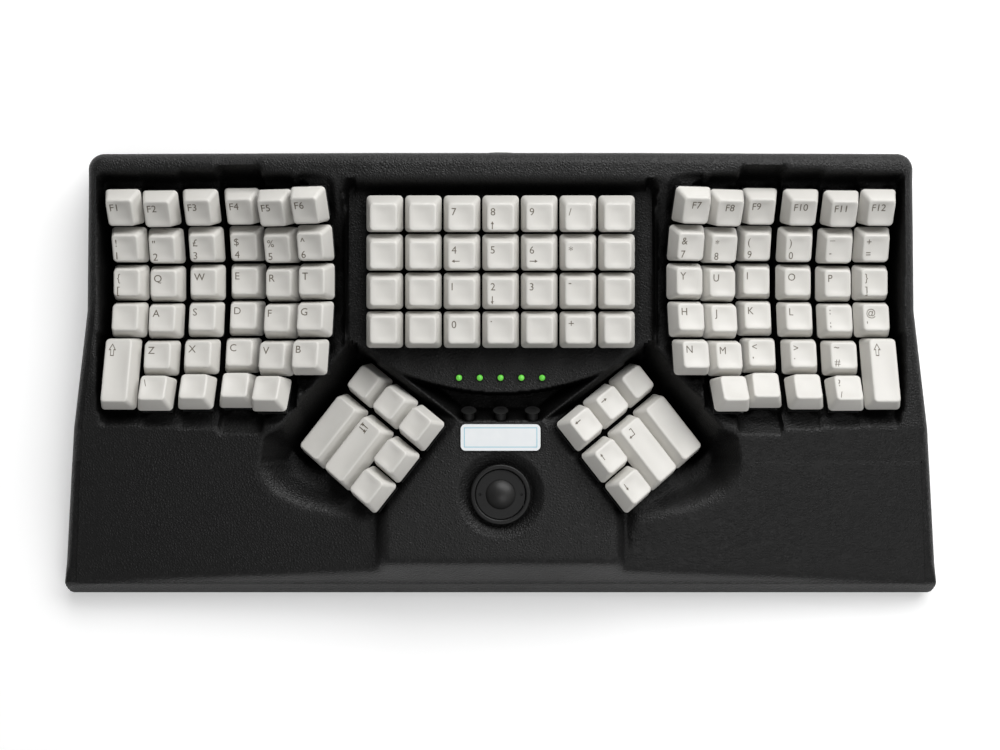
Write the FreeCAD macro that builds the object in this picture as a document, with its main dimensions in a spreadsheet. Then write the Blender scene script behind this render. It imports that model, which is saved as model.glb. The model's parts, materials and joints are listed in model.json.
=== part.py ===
import FreeCAD, Part
import math
import os
from types import SimpleNamespace

# An ergonomic keyboard with two hollow key wells, a flat number panel, two thumb
# clusters and a trackball. Millimetres; X to the right, Y away from the user, Z up.
# The origin is under the middle of the keyboard, on the surface it stands on.

Vector = FreeCAD.Vector
Rotation = FreeCAD.Rotation
Placement = FreeCAD.Placement
X_AXIS = Vector(1, 0, 0)
Y_AXIS = Vector(0, 1, 0)
Z_AXIS = Vector(0, 0, 1)

SIZES = [
    # Shell, as one formed sheet over a flat base plate
    ("shell_wall", 3.0),
    ("side_draft_angle", 5.0),
    ("front_face_angle", 32.0),
    ("back_edge_y", 114.9),
    ("front_edge_y", -115.6),
    ("back_half_width", 210.3),
    ("waist_half_width", 211.4),
    ("waist_y", 33.0),
    ("flare_half_width", 218.8),
    ("flare_y", -27.0),
    ("front_half_width", 227.0),
    ("corner_radius", 8.0),
    ("back_strip_height", 46.0),
    ("crest_height", 42.0),
    ("crest_y", -27.0),
    ("crest_inner_x", 66.0),
    ("roof_side_slope", 0.069),
    ("roof_back_slope", 0.03),
    ("palm_slope", 0.21),
    # Base plate, feet and screws
    ("foot_height", 2.0),
    ("foot_radius", 7.0),
    ("foot_side_x", 190.0),
    ("foot_back_y", 96.0),
    ("foot_front_y", -96.0),
    ("base_thickness", 2.5),
    ("base_inset", 1.0),
    ("block_side", 14.0),
    ("block_height", 10.0),
    ("block_side_x", 178.0),
    ("block_middle_x", 66.0),
    ("block_back_y", 98.0),
    ("block_front_y", -90.0),
    ("screw_shank_radius", 1.5),
    ("screw_head_radius", 3.0),
    ("screw_head_height", 1.6),
    ("screw_length", 9.0),
    ("screw_clearance", 0.2),
    # Left key well: six columns, counted from the little finger inwards
    ("column_x_1", -187.6),
    ("column_x_2", -169.2),
    ("column_x_3", -148.9),
    ("column_x_4", -128.4),
    ("column_x_5", -108.2),
    ("column_x_6", -90.7),
    ("column_y_1", 47.8),
    ("column_y_2", 47.3),
    ("column_y_3", 48.0),
    ("column_y_4", 48.7),
    ("column_y_5", 47.1),
    ("column_y_6", 47.6),
    ("column_height_1", 16.0),
    ("column_height_2", 15.0),
    ("column_height_3", 15.0),
    ("column_height_4", 13.0),
    ("column_height_5", 21.5),
    ("column_height_6", 29.0),
    ("outer_column_lean", 5.0),
    ("inner_column_lean", 13.0),
    # Rows of the wells, counted from the back; the third row lies level
    ("row_tilt_1", 25.0),
    ("row_tilt_2", 14.0),
    ("row_tilt_3", 0.0),
    ("row_tilt_4", -9.0),
    ("row_tilt_5", -11.0),
    ("row_tilt_6", -27.0),
    ("row_pitch_1", 20.9),
    ("row_pitch_2", 20.7),
    ("row_pitch_3", 19.9),
    ("row_pitch_4", 19.5),
    ("row_pitch_5", 21.0),
    ("row_shift_1", -0.6),
    ("row_shift_4", -0.3),
    ("row_shift_5", -1.6),
    ("row_shift_6", -2.3),
    ("tall_key_tilt", -15.0),
    ("tall_key_step", 28.7),
    ("tall_key_shift", -2.8),
    ("well_back_wall_angle", 68.0),
    ("well_front_wall_angle", -40.0),
    ("well_side_wall_angle", 11.0),
    ("well_inner_wall_angle", 12.0),
    ("well_reach", 40.0),
    ("hollow_lap", 0.2),
    # Number panel, with its curved front edge
    ("panel_height", 36.0),
    ("panel_pitch", 19.2),
    ("panel_first_row_y", 80.9),
    ("panel_half_width", 78.0),
    ("panel_back_y", 96.6),
    ("panel_front_y", -22.0),
    ("panel_draft_angle", 22.0),
    ("panel_edge_y", -8.8),
    ("panel_edge_radius", 127.5),
    # Thumb cluster on the left; the right one is its mirror image
    ("thumb_x", -51.0),
    ("thumb_y", -16.7),
    ("thumb_height", 22.0),
    ("thumb_yaw", 38.0),
    ("thumb_lean", 26.0),
    ("thumb_pitch", 19.05),
    ("thumb_row_gap", 1.0),
    ("thumb_plate_margin", 1.4),
    ("thumb_bowl_angle", 36.0),
    ("thumb_bowl_floor", 18.0),
    # Trackball deck, its back slope and the grooves beside it
    ("deck_height", 35.0),
    ("deck_back_y", -22.4),
    ("deck_back_half_width", 20.5),
    ("deck_side_y", -73.7),
    ("deck_half_width", 58.3),
    ("groove_width", 6.9),
    ("groove_floor", 29.0),
    ("groove_floor_width", 2.0),
    ("trench_floor", 24.0),
    ("trench_half_width", 56.0),
    ("trench_back_y", 12.0),
    ("trench_side_y", 5.0),
    ("trench_angle", 30.0),
    # Key switches and caps
    ("key_travel", 4.0),
    ("switch_hole", 14.0),
    ("switch_clearance", 0.05),
    ("switch_depth", 5.0),
    ("switch_flange", 15.6),
    ("switch_flange_height", 1.0),
    ("switch_top_side", 10.4),
    ("switch_top_height", 6.6),
    ("switch_bore", 6.3),
    ("slider_clearance", 0.15),
    ("slider_shoulder", 6.2),
    ("slider_foot", 0.5),
    ("stem_height", 4.0),
    ("stem_length", 4.0),
    ("stem_width", 1.2),
    ("stem_clearance", 0.05),
    ("cap_side", 18.2),
    ("cap_top_width", 12.6),
    ("cap_top_depth", 14.0),
    ("cap_top_shift", -0.5),
    ("cap_height", 8.8),
    ("cap_floor_gap", 0.5),
    ("cap_room", 0.5),
    ("cap_wall", 1.5),
    ("cap_roof", 1.8),
    ("cap_boss_side", 5.4),
    ("cap_seat_gap", 0.3),
    # Trackball
    ("ball_centre_y", -59.3),
    ("ball_radius", 10.0),
    ("ball_clearance", 0.3),
    ("ball_opening_radius", 8.0),
    ("cup_tube_radius", 12.4),
    ("cup_tube_rise", 0.6),
    ("cup_body_radius", 17.0),
    ("cup_floor", 2.0),
    ("cup_hole_clearance", 0.3),
    ("dish_radius", 22.0),
    ("dish_depth", 3.0),
    ("bezel_outer_radius", 15.1),
    ("bezel_height", 3.4),
    ("bezel_edge_radius", 0.75),
    ("ring_radius", 12.3),
    ("ring_thickness", 1.6),
    ("spanner_hole_radius", 0.8),
    ("spanner_hole_place", 10.4),
    ("roller_radius", 1.6),
    ("roller_length", 11.0),
    ("roller_shaft_radius", 1.0),
    ("roller_shaft_length", 19.0),
    ("roller_ball_gap", 0.05),
    ("shaft_clearance", 0.08),
    ("roller_room", 0.6),
    # Push buttons on the deck's back slope
    ("button_pitch", 16.0),
    ("button_radius", 2.7),
    ("button_length", 7.7),
    ("button_rise", 4.2),
    ("button_drop", 3.8),
    ("button_travel", 1.0),
    ("button_clearance", 0.3),
    ("button_switch_side", 6.0),
    ("button_switch_height", 3.5),
    # Indicator lights
    ("light_pitch", 10.4),
    ("light_y", -0.7),
    ("light_radius", 1.5),
    ("light_rise", 0.4),
    ("light_length", 8.0),
    ("light_clearance", 0.1),
    ("light_board_length", 46.0),
    ("light_board_width", 5.0),
    # Badge, controller board and cable inlet
    ("badge_length", 40.0),
    ("badge_width", 13.3),
    ("badge_thickness", 0.8),
    ("badge_corner_radius", 2.5),
    ("badge_centre_y", -30.6),
    ("board_length", 110.0),
    ("board_width", 58.0),
    ("board_thickness", 1.6),
    ("board_centre_y", 56.0),
    ("pillar_side", 6.0),
    ("pillar_height", 6.0),
    ("pillar_inset", 6.0),
    ("inlet_height", 20.0),
    ("inlet_bore_radius", 2.5),
    ("inlet_neck_radius", 5.0),
    ("inlet_flange_radius", 7.0),
    ("inlet_flange_thickness", 1.0),
    ("inlet_inner_flange_thickness", 2.0),
    ("inlet_clearance", 0.1),
]

COLUMNS = 6
ROWS = 6
OUTER_COLUMNS = (1, 2, 3, 4)
ROW_NAMES = ("function", "number", "upper", "home", "lower", "bottom")
LEVEL_ROW = 3
HOME_ROW = 4
LOWER_ROW = 5
BOTTOM_ROW = 6
BAR_ROW = 1.5
PANEL_COLUMNS = 7
PANEL_ROWS = 4
BUTTON_NAMES = ("left", "middle", "right")
LIGHTS = 5

# Plan of the left thumb bowl's rim, from the crest round to the front of the deck's side
THUMB_RIM = [
    (-76, 12),
    (-86, -7),
    (-103, -24),
    (-117, -31),
    (-121, -47),
    (-115, -59),
    (-100, -67),
    (-75, -72),
]

# Reach of the tools that cut everything away, height at which open hollows end, and a tolerance
FAR = 600.0
OPEN_TOP = 150.0
NEAR = 0.01

CAP_BOTTOM = "(Sizes.switch_flange_height + Sizes.key_travel + Sizes.cap_floor_gap)"
CAP_TOP = "(%s + Sizes.cap_height)" % CAP_BOTTOM


def make_sheet(doc):
    """Put every driving dimension in a spreadsheet cell of its own name."""
    sheet = doc.addObject("Spreadsheet::Sheet", "Sizes")
    for row, (name, value) in enumerate(SIZES, start=1):
        sheet.set("A%d" % row, name)
        sheet.set("B%d" % row, str(value))
        sheet.setAlias("B%d" % row, name)
    doc.recompute()
    return sheet


def read_sizes(sheet):
    """The sheet's values as plain numbers, for shapes that are set in code."""
    return SimpleNamespace(**{name: float(sheet.get(name)) for name, _ in SIZES})


def numbered(size, name, number):
    """One value of a numbered family, or 0 where the family has no such member."""
    return getattr(size, "%s_%d" % (name, number), 0.0)


def slope(angle):
    """Rise over run of an angle in degrees."""
    return math.tan(math.radians(angle))


# Plane geometry


def offset_polygon(points, distance):
    """Move every side of a counter-clockwise polygon outwards by a distance."""
    moved = []
    count = len(points)
    for i in range(count):
        before, here, after = points[i - 1], points[i], points[(i + 1) % count]
        first = outward(before, here)
        second = outward(here, after)
        scale = distance / (1.0 + first[0] * second[0] + first[1] * second[1])
        moved.append((here[0] + scale * (first[0] + second[0]), here[1] + scale * (first[1] + second[1])))
    return moved


def outward(start, end):
    """Unit normal that points to the right of the line from start to end."""
    dx, dy = end[0] - start[0], end[1] - start[1]
    length = math.hypot(dx, dy)
    return (dy / length, -dx / length)


# Solids made from flat faces


def tapered_prism(points, low, high, widening):
    """Upright prism whose plan at its low end is given, and grows by widening per unit of height."""
    top = offset_polygon(points, widening * (high - low))
    lower = [Vector(x, y, low) for x, y in points]
    upper = [Vector(x, y, high) for x, y in top]
    faces = [closed_face(list(reversed(lower))), closed_face(upper)]
    for i in range(len(points)):
        j = (i + 1) % len(points)
        faces.append(closed_face([lower[i], lower[j], upper[j], upper[i]]))
    skin = Part.makeShell(faces)
    skin.sewShape()
    return Part.makeSolid(skin)


def closed_face(corners):
    return Part.Face(Part.makePolygon(corners + [corners[0]]))


def side_prism(points, left, right):
    """Prism along X of a polygon drawn in Y and Z."""
    face = closed_face([Vector(left, y, z) for y, z in points])
    return face.extrude(Vector(right - left, 0, 0))


def half_space(point, normal):
    """A big box that fills everything on the side of the plane to which the normal points."""
    box = Part.makeBox(2 * FAR, 2 * FAR, FAR, Vector(-FAR, -FAR, 0))
    box.Placement = Placement(point, Rotation(Z_AXIS, normal))
    return box


def placed(shape, placement):
    """A copy of a shape, moved by a placement."""
    copy = shape.copy()
    copy.Placement = placement.multiply(copy.Placement)
    return copy


def mirror_x(shape):
    return shape.mirror(Vector(0, 0, 0), X_AXIS)


def box_between(low, high):
    size = high - low
    return Part.makeBox(size.x, size.y, size.z, low)


# Key places


def row_places(size):
    """Offset in Y and Z, and tilt, of each row of a well, measured from its level row."""
    tilts = [numbered(size, "row_tilt", row) for row in range(1, ROWS + 1)]
    places = {LEVEL_ROW: (0.0, 0.0)}
    for row in range(LEVEL_ROW, ROWS):
        pitch = numbered(size, "row_pitch", row)
        places[row + 1] = step_place(places[row], tilts[row - 1], tilts[row], -pitch)
    for row in range(LEVEL_ROW, 1, -1):
        pitch = numbered(size, "row_pitch", row - 1)
        places[row - 1] = step_place(places[row], tilts[row - 1], tilts[row - 2], pitch)
    return {row: (places[row][0], places[row][1], tilts[row - 1]) for row in places}


def step_place(start, tilt, next_tilt, distance):
    """The next facet's middle: a distance from this one along the mean of their tilts."""
    angle = math.radians((tilt + next_tilt) / 2)
    return (start[0] + distance * math.cos(angle), start[1] + distance * math.sin(angle))


def tall_key_place(size):
    """Offset and tilt of the tall key at the front end of the first column."""
    rows = row_places(size)
    start = rows[HOME_ROW]
    place = step_place(start[:2], start[2], size.tall_key_tilt, -size.tall_key_step)
    return (place[0], place[1], size.tall_key_tilt)


def column_lean(size, column):
    return size.outer_column_lean if column in OUTER_COLUMNS else size.inner_column_lean


def column_frame(size, column, side):
    """Frame of a well column: side is -1 for the left well and 1 for the right one."""
    origin = Vector(
        -side * numbered(size, "column_x", column),
        numbered(size, "column_y", column),
        numbered(size, "column_height", column),
    )
    return Placement(origin, Rotation(Y_AXIS, side * column_lean(size, column)))


def well_key(size, column, place, shift, side):
    """Placement of one well key, whose origin is the middle of its switch hole."""
    y, z, tilt = place
    frame = column_frame(size, column, side)
    local = frame.Rotation.multVec(Vector(0, y, z))
    origin = frame.Base + local + Vector(-side * shift, 0, 0)
    return Placement(origin, frame.Rotation * Rotation(X_AXIS, tilt))


def well_columns(row):
    """Columns that have a key in a row."""
    if row == LOWER_ROW:
        return (2, 3, 4, 5, 6)
    if row == BOTTOM_ROW:
        return (2, 3, 4, 5)
    return (1, 2, 3, 4, 5, 6)


def well_groups(size, side):
    """Keys of one well, grouped by shared travel axis: name and the placements of the keys."""
    rows = row_places(size)
    hand = "left" if side < 0 else "right"
    groups = []
    for row in range(1, ROWS + 1):
        shift = numbered(size, "row_shift", row)
        for part, is_outer in (("outer", True), ("inner", False)):
            columns = [c for c in well_columns(row) if (c in OUTER_COLUMNS) == is_outer]
            keys = [well_key(size, c, rows[row], shift, side) for c in columns]
            groups.append(("keys_%s_%s_%s" % (hand, ROW_NAMES[row - 1], part), keys))
    return groups


def tall_key(size, side):
    return well_key(size, 1, tall_key_place(size), size.tall_key_shift, side)


def thumb_frame(size, side):
    """Frame of a thumb cluster, at the middle key of its back row."""
    turn = Rotation(Z_AXIS, side * size.thumb_yaw) * Rotation(Y_AXIS, side * size.thumb_lean)
    return Placement(Vector(-side * size.thumb_x, size.thumb_y, size.thumb_height), turn)


def thumb_key(size, side, column, row):
    """Placement of a thumb key: column counts inwards from the middle, row towards the user."""
    step = 0.0 if row == 0 else size.thumb_row_gap
    local = Vector(-side * column * size.thumb_pitch, -row * size.thumb_pitch - step, 0)
    return thumb_frame(size, side).multiply(Placement(local, Rotation()))


def thumb_groups(size, side):
    """Keys of a thumb cluster, which all travel along one axis: name, cap kind and placements."""
    hand = "left" if side < 0 else "right"
    back = [thumb_key(size, side, column, 0) for column in (-1, 0, 1)]
    bars = [thumb_key(size, side, column, BAR_ROW) for column in (-1, 0)]
    inner = [thumb_key(size, side, 1, row) for row in (1, 2)]
    return [
        ("keys_%s_thumb_back" % hand, "single", back),
        ("keys_%s_thumb_bars" % hand, "double", bars),
        ("keys_%s_thumb_inner" % hand, "single", inner),
    ]


def panel_key(size, column, row):
    x = (column - (PANEL_COLUMNS - 1) / 2) * size.panel_pitch
    y = size.panel_first_row_y - row * size.panel_pitch
    return Placement(Vector(x, y, size.panel_height), Rotation())


def key_groups(size):
    """Every key of the keyboard: group name, cap kind and placements."""
    groups = []
    for side in (-1, 1):
        hand = "left" if side < 0 else "right"
        groups += [(name, "single", keys) for name, keys in well_groups(size, side)]
        groups.append(("key_%s_tall" % hand, "double", [tall_key(size, side)]))
        groups += thumb_groups(size, side)
    for row in range(PANEL_ROWS):
        keys = [panel_key(size, column, row) for column in range(PANEL_COLUMNS)]
        groups.append(("keys_centre_row_%d" % (row + 1), "single", keys))
    return groups


# The hollows of the shell: each is made at its real size, and again grown by the wall


def floor_profile(size, column):
    """The floor of a well column in its own Y and Z, from the front end to the back end."""
    rows = row_places(size)
    places = [rows[row] for row in range(1, ROWS + 1)]
    pitches = [numbered(size, "row_pitch", row) for row in range(1, ROWS)]
    if column == 1:
        places = places[:HOME_ROW] + [tall_key_place(size)]
        pitches = pitches[:HOME_ROW - 1] + [size.tall_key_step]
    if column == COLUMNS:
        places = places[:LOWER_ROW]
        pitches = pitches[:LOWER_ROW - 1]
    points = [facet_point(places[0], size.row_pitch_1 / 2)]
    for here, after, pitch in zip(places, places[1:], pitches):
        reach = size.row_pitch_1 / 2 if after is places[-1] and column == 1 else pitch / 2
        bend = math.radians((here[2] - after[2]) / 2)
        points.append(facet_point(here, -reach / math.cos(bend)))
    last_reach = size.cap_side if column == 1 else size.row_pitch_1 / 2
    points.append(facet_point(places[-1], -last_reach))
    return list(reversed(points))


def facet_point(place, distance):
    """A point on a facet, a distance from its middle along its tilt."""
    y, z, tilt = place
    angle = math.radians(tilt)
    return (y + distance * math.cos(angle), z + distance * math.sin(angle))


def column_polygon(size, column):
    """Side view of a well column's hollow: its floor, two end walls and a top far above."""
    floor = floor_profile(size, column)
    front, back = floor[0], floor[-1]
    top = size.well_reach
    front_top = (front[0] + (top - front[1]) / slope(size.well_front_wall_angle), top)
    back_top = (back[0] + (top - back[1]) / slope(size.well_back_wall_angle), top)
    return [front_top] + floor + [back_top]


def column_edges(size, column):
    """Half widths of a column, outwards and inwards: half way to its neighbours."""
    x = numbered(size, "column_x", column)
    ends = size.cap_side / 2 + size.cap_room
    outer = (x - numbered(size, "column_x", column - 1)) / 2 if column > 1 else ends
    inner = (numbered(size, "column_x", column + 1) - x) / 2 if column < COLUMNS else ends
    return outer, inner


def column_hollows(size, column, grow):
    """The hollow of one column of the left well, with a leaning wall at either end of the well."""
    polygon = offset_polygon(column_polygon(size, column), grow)
    outer, inner = column_edges(size, column)
    frame = column_frame(size, column, -1)
    lean = column_lean(size, column)
    solid = side_prism(polygon, -outer - size.hollow_lap - grow, inner + size.hollow_lap + grow)
    hollows = [placed(solid, frame)]
    if column == 1:
        swing = lean - size.well_side_wall_angle
        hollows.append(leaning_hollow(size, polygon, frame, -outer, swing, grow))
    if column == COLUMNS:
        swing = lean + size.well_inner_wall_angle
        hollows.append(leaning_hollow(size, polygon, frame, inner, swing, grow))
    return hollows


def leaning_hollow(size, polygon, frame, edge, swing, grow):
    """The same side view swung about the column's bottom edge, which gives the end wall its draft."""
    width = size.cap_side / 2
    left, right = (-grow, width) if edge < 0 else (-width, grow)
    hinge = Placement(Vector(edge, 0, 0), Rotation(Y_AXIS, swing))
    return placed(side_prism(polygon, left, right), frame.multiply(hinge))


def key_room(size, kind, grow):
    """Free space that a cap needs over its whole travel, and above it."""
    half = size.cap_side / 2 + size.cap_room + grow
    half_depth = half + (size.thumb_pitch / 2 if kind == "double" else 0.0)
    low = size.switch_flange_height + size.cap_floor_gap - size.cap_room - grow
    return box_between(Vector(-half, -half_depth, low), Vector(half, half_depth, size.well_reach))


def key_rooms(size, grow):
    """The rooms of every key of the left hand."""
    groups = [group for group in key_groups(size) if "_left_" in group[0]]
    return [placed(key_room(size, kind, grow), place) for _, kind, keys in groups for place in keys]


def panel_hollow(size, grow):
    """The sunk number panel, with its sloping back and side walls."""
    draft = slope(size.panel_draft_angle)
    inset = draft * (size.back_strip_height - size.panel_height)
    half = size.panel_half_width - inset
    back = size.panel_back_y - inset
    plan = [(-half, size.panel_front_y), (half, size.panel_front_y), (half, back), (-half, back)]
    return tapered_prism(offset_polygon(plan, grow), size.panel_height - grow, OPEN_TOP, draft)


def trench_hollow(size, grow):
    """The trench between the panel's curved edge and the deck's back slope."""
    draft = slope(size.trench_angle)
    plan = [
        (-size.trench_half_width, size.trench_side_y),
        (-size.deck_back_half_width, size.deck_back_y),
        (size.deck_back_half_width, size.deck_back_y),
        (size.trench_half_width, size.trench_side_y),
        (size.trench_half_width - size.trench_back_y, size.trench_back_y),
        (size.trench_back_y - size.trench_half_width, size.trench_back_y),
    ]
    floor_plan = offset_polygon(plan, grow - draft * (size.deck_height - size.trench_floor))
    hollow = tapered_prism(floor_plan, size.trench_floor - grow, size.back_strip_height, draft)
    centre = Vector(0, size.panel_edge_y + size.panel_edge_radius, -1)
    panel = Part.makeCylinder(size.panel_edge_radius - grow, FAR, centre)
    return hollow.cut(panel)


def deck_hollow(size, grow):
    """Everything above the trackball deck."""
    front = size.front_edge_y - size.groove_width
    plan = [
        (-size.deck_back_half_width, size.deck_back_y),
        (-size.deck_half_width, size.deck_side_y),
        (-size.deck_half_width, front),
        (size.deck_half_width, front),
        (size.deck_half_width, size.deck_side_y),
        (size.deck_back_half_width, size.deck_back_y),
    ]
    return tapered_prism(offset_polygon(plan, grow), size.deck_height - grow, OPEN_TOP, 0.0)


def groove_hollow(size, grow):
    """The groove between the left palm rest and the deck: upright on the palm side, open to the front."""
    right = -size.deck_half_width + grow
    left = -size.deck_half_width - size.groove_width - grow
    floor_right = left + size.groove_floor_width + 2 * grow
    front = size.front_edge_y - size.groove_width
    back = size.deck_side_y + size.groove_width + grow
    side_view = [
        Vector(left, front, size.groove_floor - grow),
        Vector(floor_right, front, size.groove_floor - grow),
        Vector(right, front, size.deck_height),
        Vector(right, front, OPEN_TOP),
        Vector(left, front, OPEN_TOP),
    ]
    return closed_face(side_view).extrude(Vector(0, back - front, 0))


def thumb_outline(size):
    """Plan of the left thumb recess, counter-clockwise from the crest beside the number panel."""
    return THUMB_RIM + [
        (-size.deck_half_width, size.deck_side_y),
        (-size.deck_back_half_width, size.deck_back_y),
        (-size.trench_half_width, size.trench_side_y),
    ]


def thumb_hollows(size, grow):
    """The key block's own hollow, square to its plate, and the bowl round it."""
    frame = thumb_frame(size, -1)
    margin = size.thumb_plate_margin + grow
    half = size.thumb_pitch + size.cap_side / 2 + margin
    back = size.cap_side / 2 + margin
    front = 2 * size.thumb_pitch + size.thumb_row_gap + size.cap_side / 2 + margin
    low = Vector(-half, -front, -grow)
    high = Vector(half, back, size.well_reach)
    block = placed(box_between(low, high), frame)
    draft = slope(size.thumb_bowl_angle)
    depth = size.deck_height - size.thumb_bowl_floor
    plan = offset_polygon(thumb_outline(size), grow - draft * depth)
    bowl = tapered_prism(plan, size.thumb_bowl_floor - grow, size.deck_height, draft)
    upper = tapered_prism(offset_polygon(thumb_outline(size), grow), size.deck_height, OPEN_TOP, 0.0)
    bowl = bowl.fuse(upper)
    plate_normal = frame.Rotation.multVec(Z_AXIS)
    above_plate = half_space(frame.multVec(Vector(0, 0, -grow)), plate_normal)
    return [block, bowl.common(above_plate)]


def dish_hollow(size, grow):
    """The shallow round dish that the trackball sits in."""
    centre = Vector(0, size.ball_centre_y, size.deck_height - size.dish_depth - grow)
    rim = size.dish_radius + grow
    floor = rim - 2 * size.dish_depth
    return Part.makeCone(floor, rim, size.dish_depth + grow, centre)


def hollows(size, grow):
    """Every hollow of the shell's top, grown outwards by a distance."""
    left = []
    for column in range(1, COLUMNS + 1):
        left += column_hollows(size, column, grow)
    left += thumb_hollows(size, grow)
    left += key_rooms(size, grow)
    left.append(groove_hollow(size, grow))
    both = left + [mirror_x(shape) for shape in left]
    return both + [panel_hollow(size, grow), trench_hollow(size, grow), deck_hollow(size, grow)]


# Shell and base


def base_outline(size):
    """Plan of the keyboard at the surface it stands on, counter-clockwise from the back left."""
    left = [
        (-size.back_half_width, size.back_edge_y),
        (-size.waist_half_width, size.waist_y),
        (-size.flare_half_width, size.flare_y),
        (-size.front_half_width, size.front_edge_y),
    ]
    return left + [(-x, y) for x, y in reversed(left)]


def base_top(size):
    """Height of the base plate's upper face, which the shell stands on."""
    return size.foot_height + size.base_thickness


def rounded_upright(solid, size, inset):
    """Round the upright corner edges of the outline."""
    corners = []
    for edge in solid.Edges:
        direction = edge.lastVertex().Point - edge.firstVertex().Point
        middle = edge.CenterOfMass
        steep = abs(direction.z) > abs(direction.x) + abs(direction.y)
        at_back = middle.y > size.waist_y + size.corner_radius
        at_front = middle.y < size.flare_y - size.corner_radius
        if steep and (at_back or at_front):
            corners.append(edge)
    return solid.makeFillet(size.corner_radius - inset, corners)


def blank(size, inset):
    """The shell's outer form without its hollows, each face moved inwards by the inset."""
    draft = slope(size.side_draft_angle)
    low = base_top(size) - inset
    plan = offset_polygon(base_outline(size), -draft * low - inset)
    solid = tapered_prism(plan, low, size.back_strip_height - inset, -draft)
    solid = rounded_upright(solid, size, inset)
    front = Vector(0, size.front_edge_y, 0)
    solid = trimmed(solid, front, Vector(0, -1, slope(size.front_face_angle)), inset)
    half = size.deck_half_width + size.groove_width / 2 - inset
    low_corner = Vector(-half, size.front_edge_y, low)
    high_corner = Vector(half, size.deck_back_y, size.deck_height - inset)
    deck = solid.common(box_between(low_corner, high_corner))
    for point, normal in roof_planes(size):
        solid = trimmed(solid, point, normal, inset)
    return solid.fuse(deck)


def trimmed(solid, point, normal, inset):
    """What is left of a solid under a plane that is moved inwards by the inset."""
    unit = Vector(normal).normalize()
    return solid.cut(half_space(point - unit * inset, unit))


def roof_planes(size):
    """Planes that bound the shell's top behind and in front of the crest, with outward normals."""
    planes = []
    for side in (-1, 1):
        crest = Vector(side * size.crest_inner_x, size.crest_y, size.crest_height)
        planes.append((crest, Vector(side * size.roof_side_slope, -size.roof_back_slope, 1)))
        planes.append((crest, Vector(side * size.roof_side_slope, -size.palm_slope, 1)))
    return planes


def switch_holes(size):
    """For each switch a square hole as deep as its housing, and a seat for the housing's flange."""
    half = size.switch_hole / 2
    top = size.switch_flange_height
    hole = box_between(Vector(-half, -half, -size.switch_depth), Vector(half, half, top))
    half = size.switch_flange / 2 + size.switch_clearance
    seat = box_between(Vector(-half, -half, 0), Vector(half, half, top))
    tool = hole.fuse(seat)
    return [placed(tool, place) for _, _, keys in key_groups(size) for place in keys]


def button_frame(size, index):
    """Frame of a push button on the deck's back slope, Z along its travel, outwards."""
    lean = 90 - size.trench_angle
    normal = Vector(0, math.sin(math.radians(lean)), math.cos(math.radians(lean)))
    down = Vector(0, math.cos(math.radians(lean)), -math.sin(math.radians(lean)))
    edge = Vector((index - 1) * size.button_pitch, size.deck_back_y, size.deck_height)
    return Placement(edge + down * size.button_drop, Rotation(Z_AXIS, normal))


def ball_centre(size):
    """The ball touches the ring's opening from below."""
    sink = math.sqrt(size.ball_radius**2 - size.ball_opening_radius**2)
    height = cup_rim(size) + size.ring_thickness / 2 - sink - size.ball_clearance
    return Vector(0, size.ball_centre_y, height)


def cup_rim(size):
    """Height of the top of the cup's tube, where the retaining ring lies."""
    return size.deck_height - size.dish_depth + size.cup_tube_rise


def inlet_frame(size):
    """Frame of the cable inlet on the outer face of the back wall, Z pointing out."""
    draft = slope(size.side_draft_angle)
    point = Vector(0, size.back_edge_y - draft * size.inlet_height, size.inlet_height)
    return Placement(point, Rotation(Z_AXIS, Vector(0, 1, draft)))


def small_openings(size):
    """Round openings of the shell: trackball, buttons, lights and cable inlet."""
    tube = size.cup_tube_radius + size.cup_hole_clearance
    centre = Vector(0, size.ball_centre_y, size.deck_height - 2 * size.shell_wall - size.dish_depth)
    tools = [Part.makeCylinder(tube, 3 * size.shell_wall + size.dish_depth, centre)]
    depth = 2 * size.shell_wall
    button = Part.makeCylinder(size.button_radius + size.button_clearance, 2 * depth, Vector(0, 0, -depth))
    tools += [placed(button, button_frame(size, index)) for index in range(len(BUTTON_NAMES))]
    light = Part.makeCylinder(size.light_radius + size.light_clearance, 2 * depth, Vector(0, 0, -depth))
    tools += [placed(light, place) for place in light_places(size)]
    neck = Part.makeCylinder(size.inlet_neck_radius + size.inlet_clearance, 2 * depth, Vector(0, 0, -depth))
    tools.append(placed(neck, inlet_frame(size)))
    return tools


def light_places(size):
    xs = [(index - (LIGHTS - 1) / 2) * size.light_pitch for index in range(LIGHTS)]
    return [Placement(Vector(x, size.light_y, size.panel_height), Rotation()) for x in xs]


def hollowed_blank(size, inset):
    return blank(size, inset).cut(hollows(size, inset) + [dish_hollow(size, inset)])


def shell_shape(size):
    """One formed sheet: the blank less its hollows, and less the blank inside the wall."""
    body = hollowed_blank(size, 0.0).cut(hollowed_blank(size, size.shell_wall))
    body = body.cut(switch_holes(size) + small_openings(size))
    return body.removeSplitter()


def base_shape(size, screw_places):
    """Flat plate under the shell, with countersunk screw holes."""
    draft = slope(size.side_draft_angle)
    front = size.front_edge_y + slope(size.front_face_angle) * base_top(size)
    outline = offset_polygon(base_outline(size), -draft * base_top(size))
    outline = [(x, max(y, front)) for x, y in outline]
    plan = offset_polygon(outline, -size.base_inset)
    plate = tapered_prism(plan, size.foot_height, base_top(size), 0.0)
    plate = rounded_upright(plate, size, size.base_inset)
    clearance = size.screw_clearance
    hole = Part.makeCylinder(size.screw_shank_radius + clearance, size.base_thickness)
    sink = Part.makeCone(
        size.screw_head_radius + clearance, size.screw_shank_radius + clearance, size.screw_head_height
    )
    tool = hole.fuse(sink)
    return plate.cut([placed(tool, place) for place in screw_places])


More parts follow.
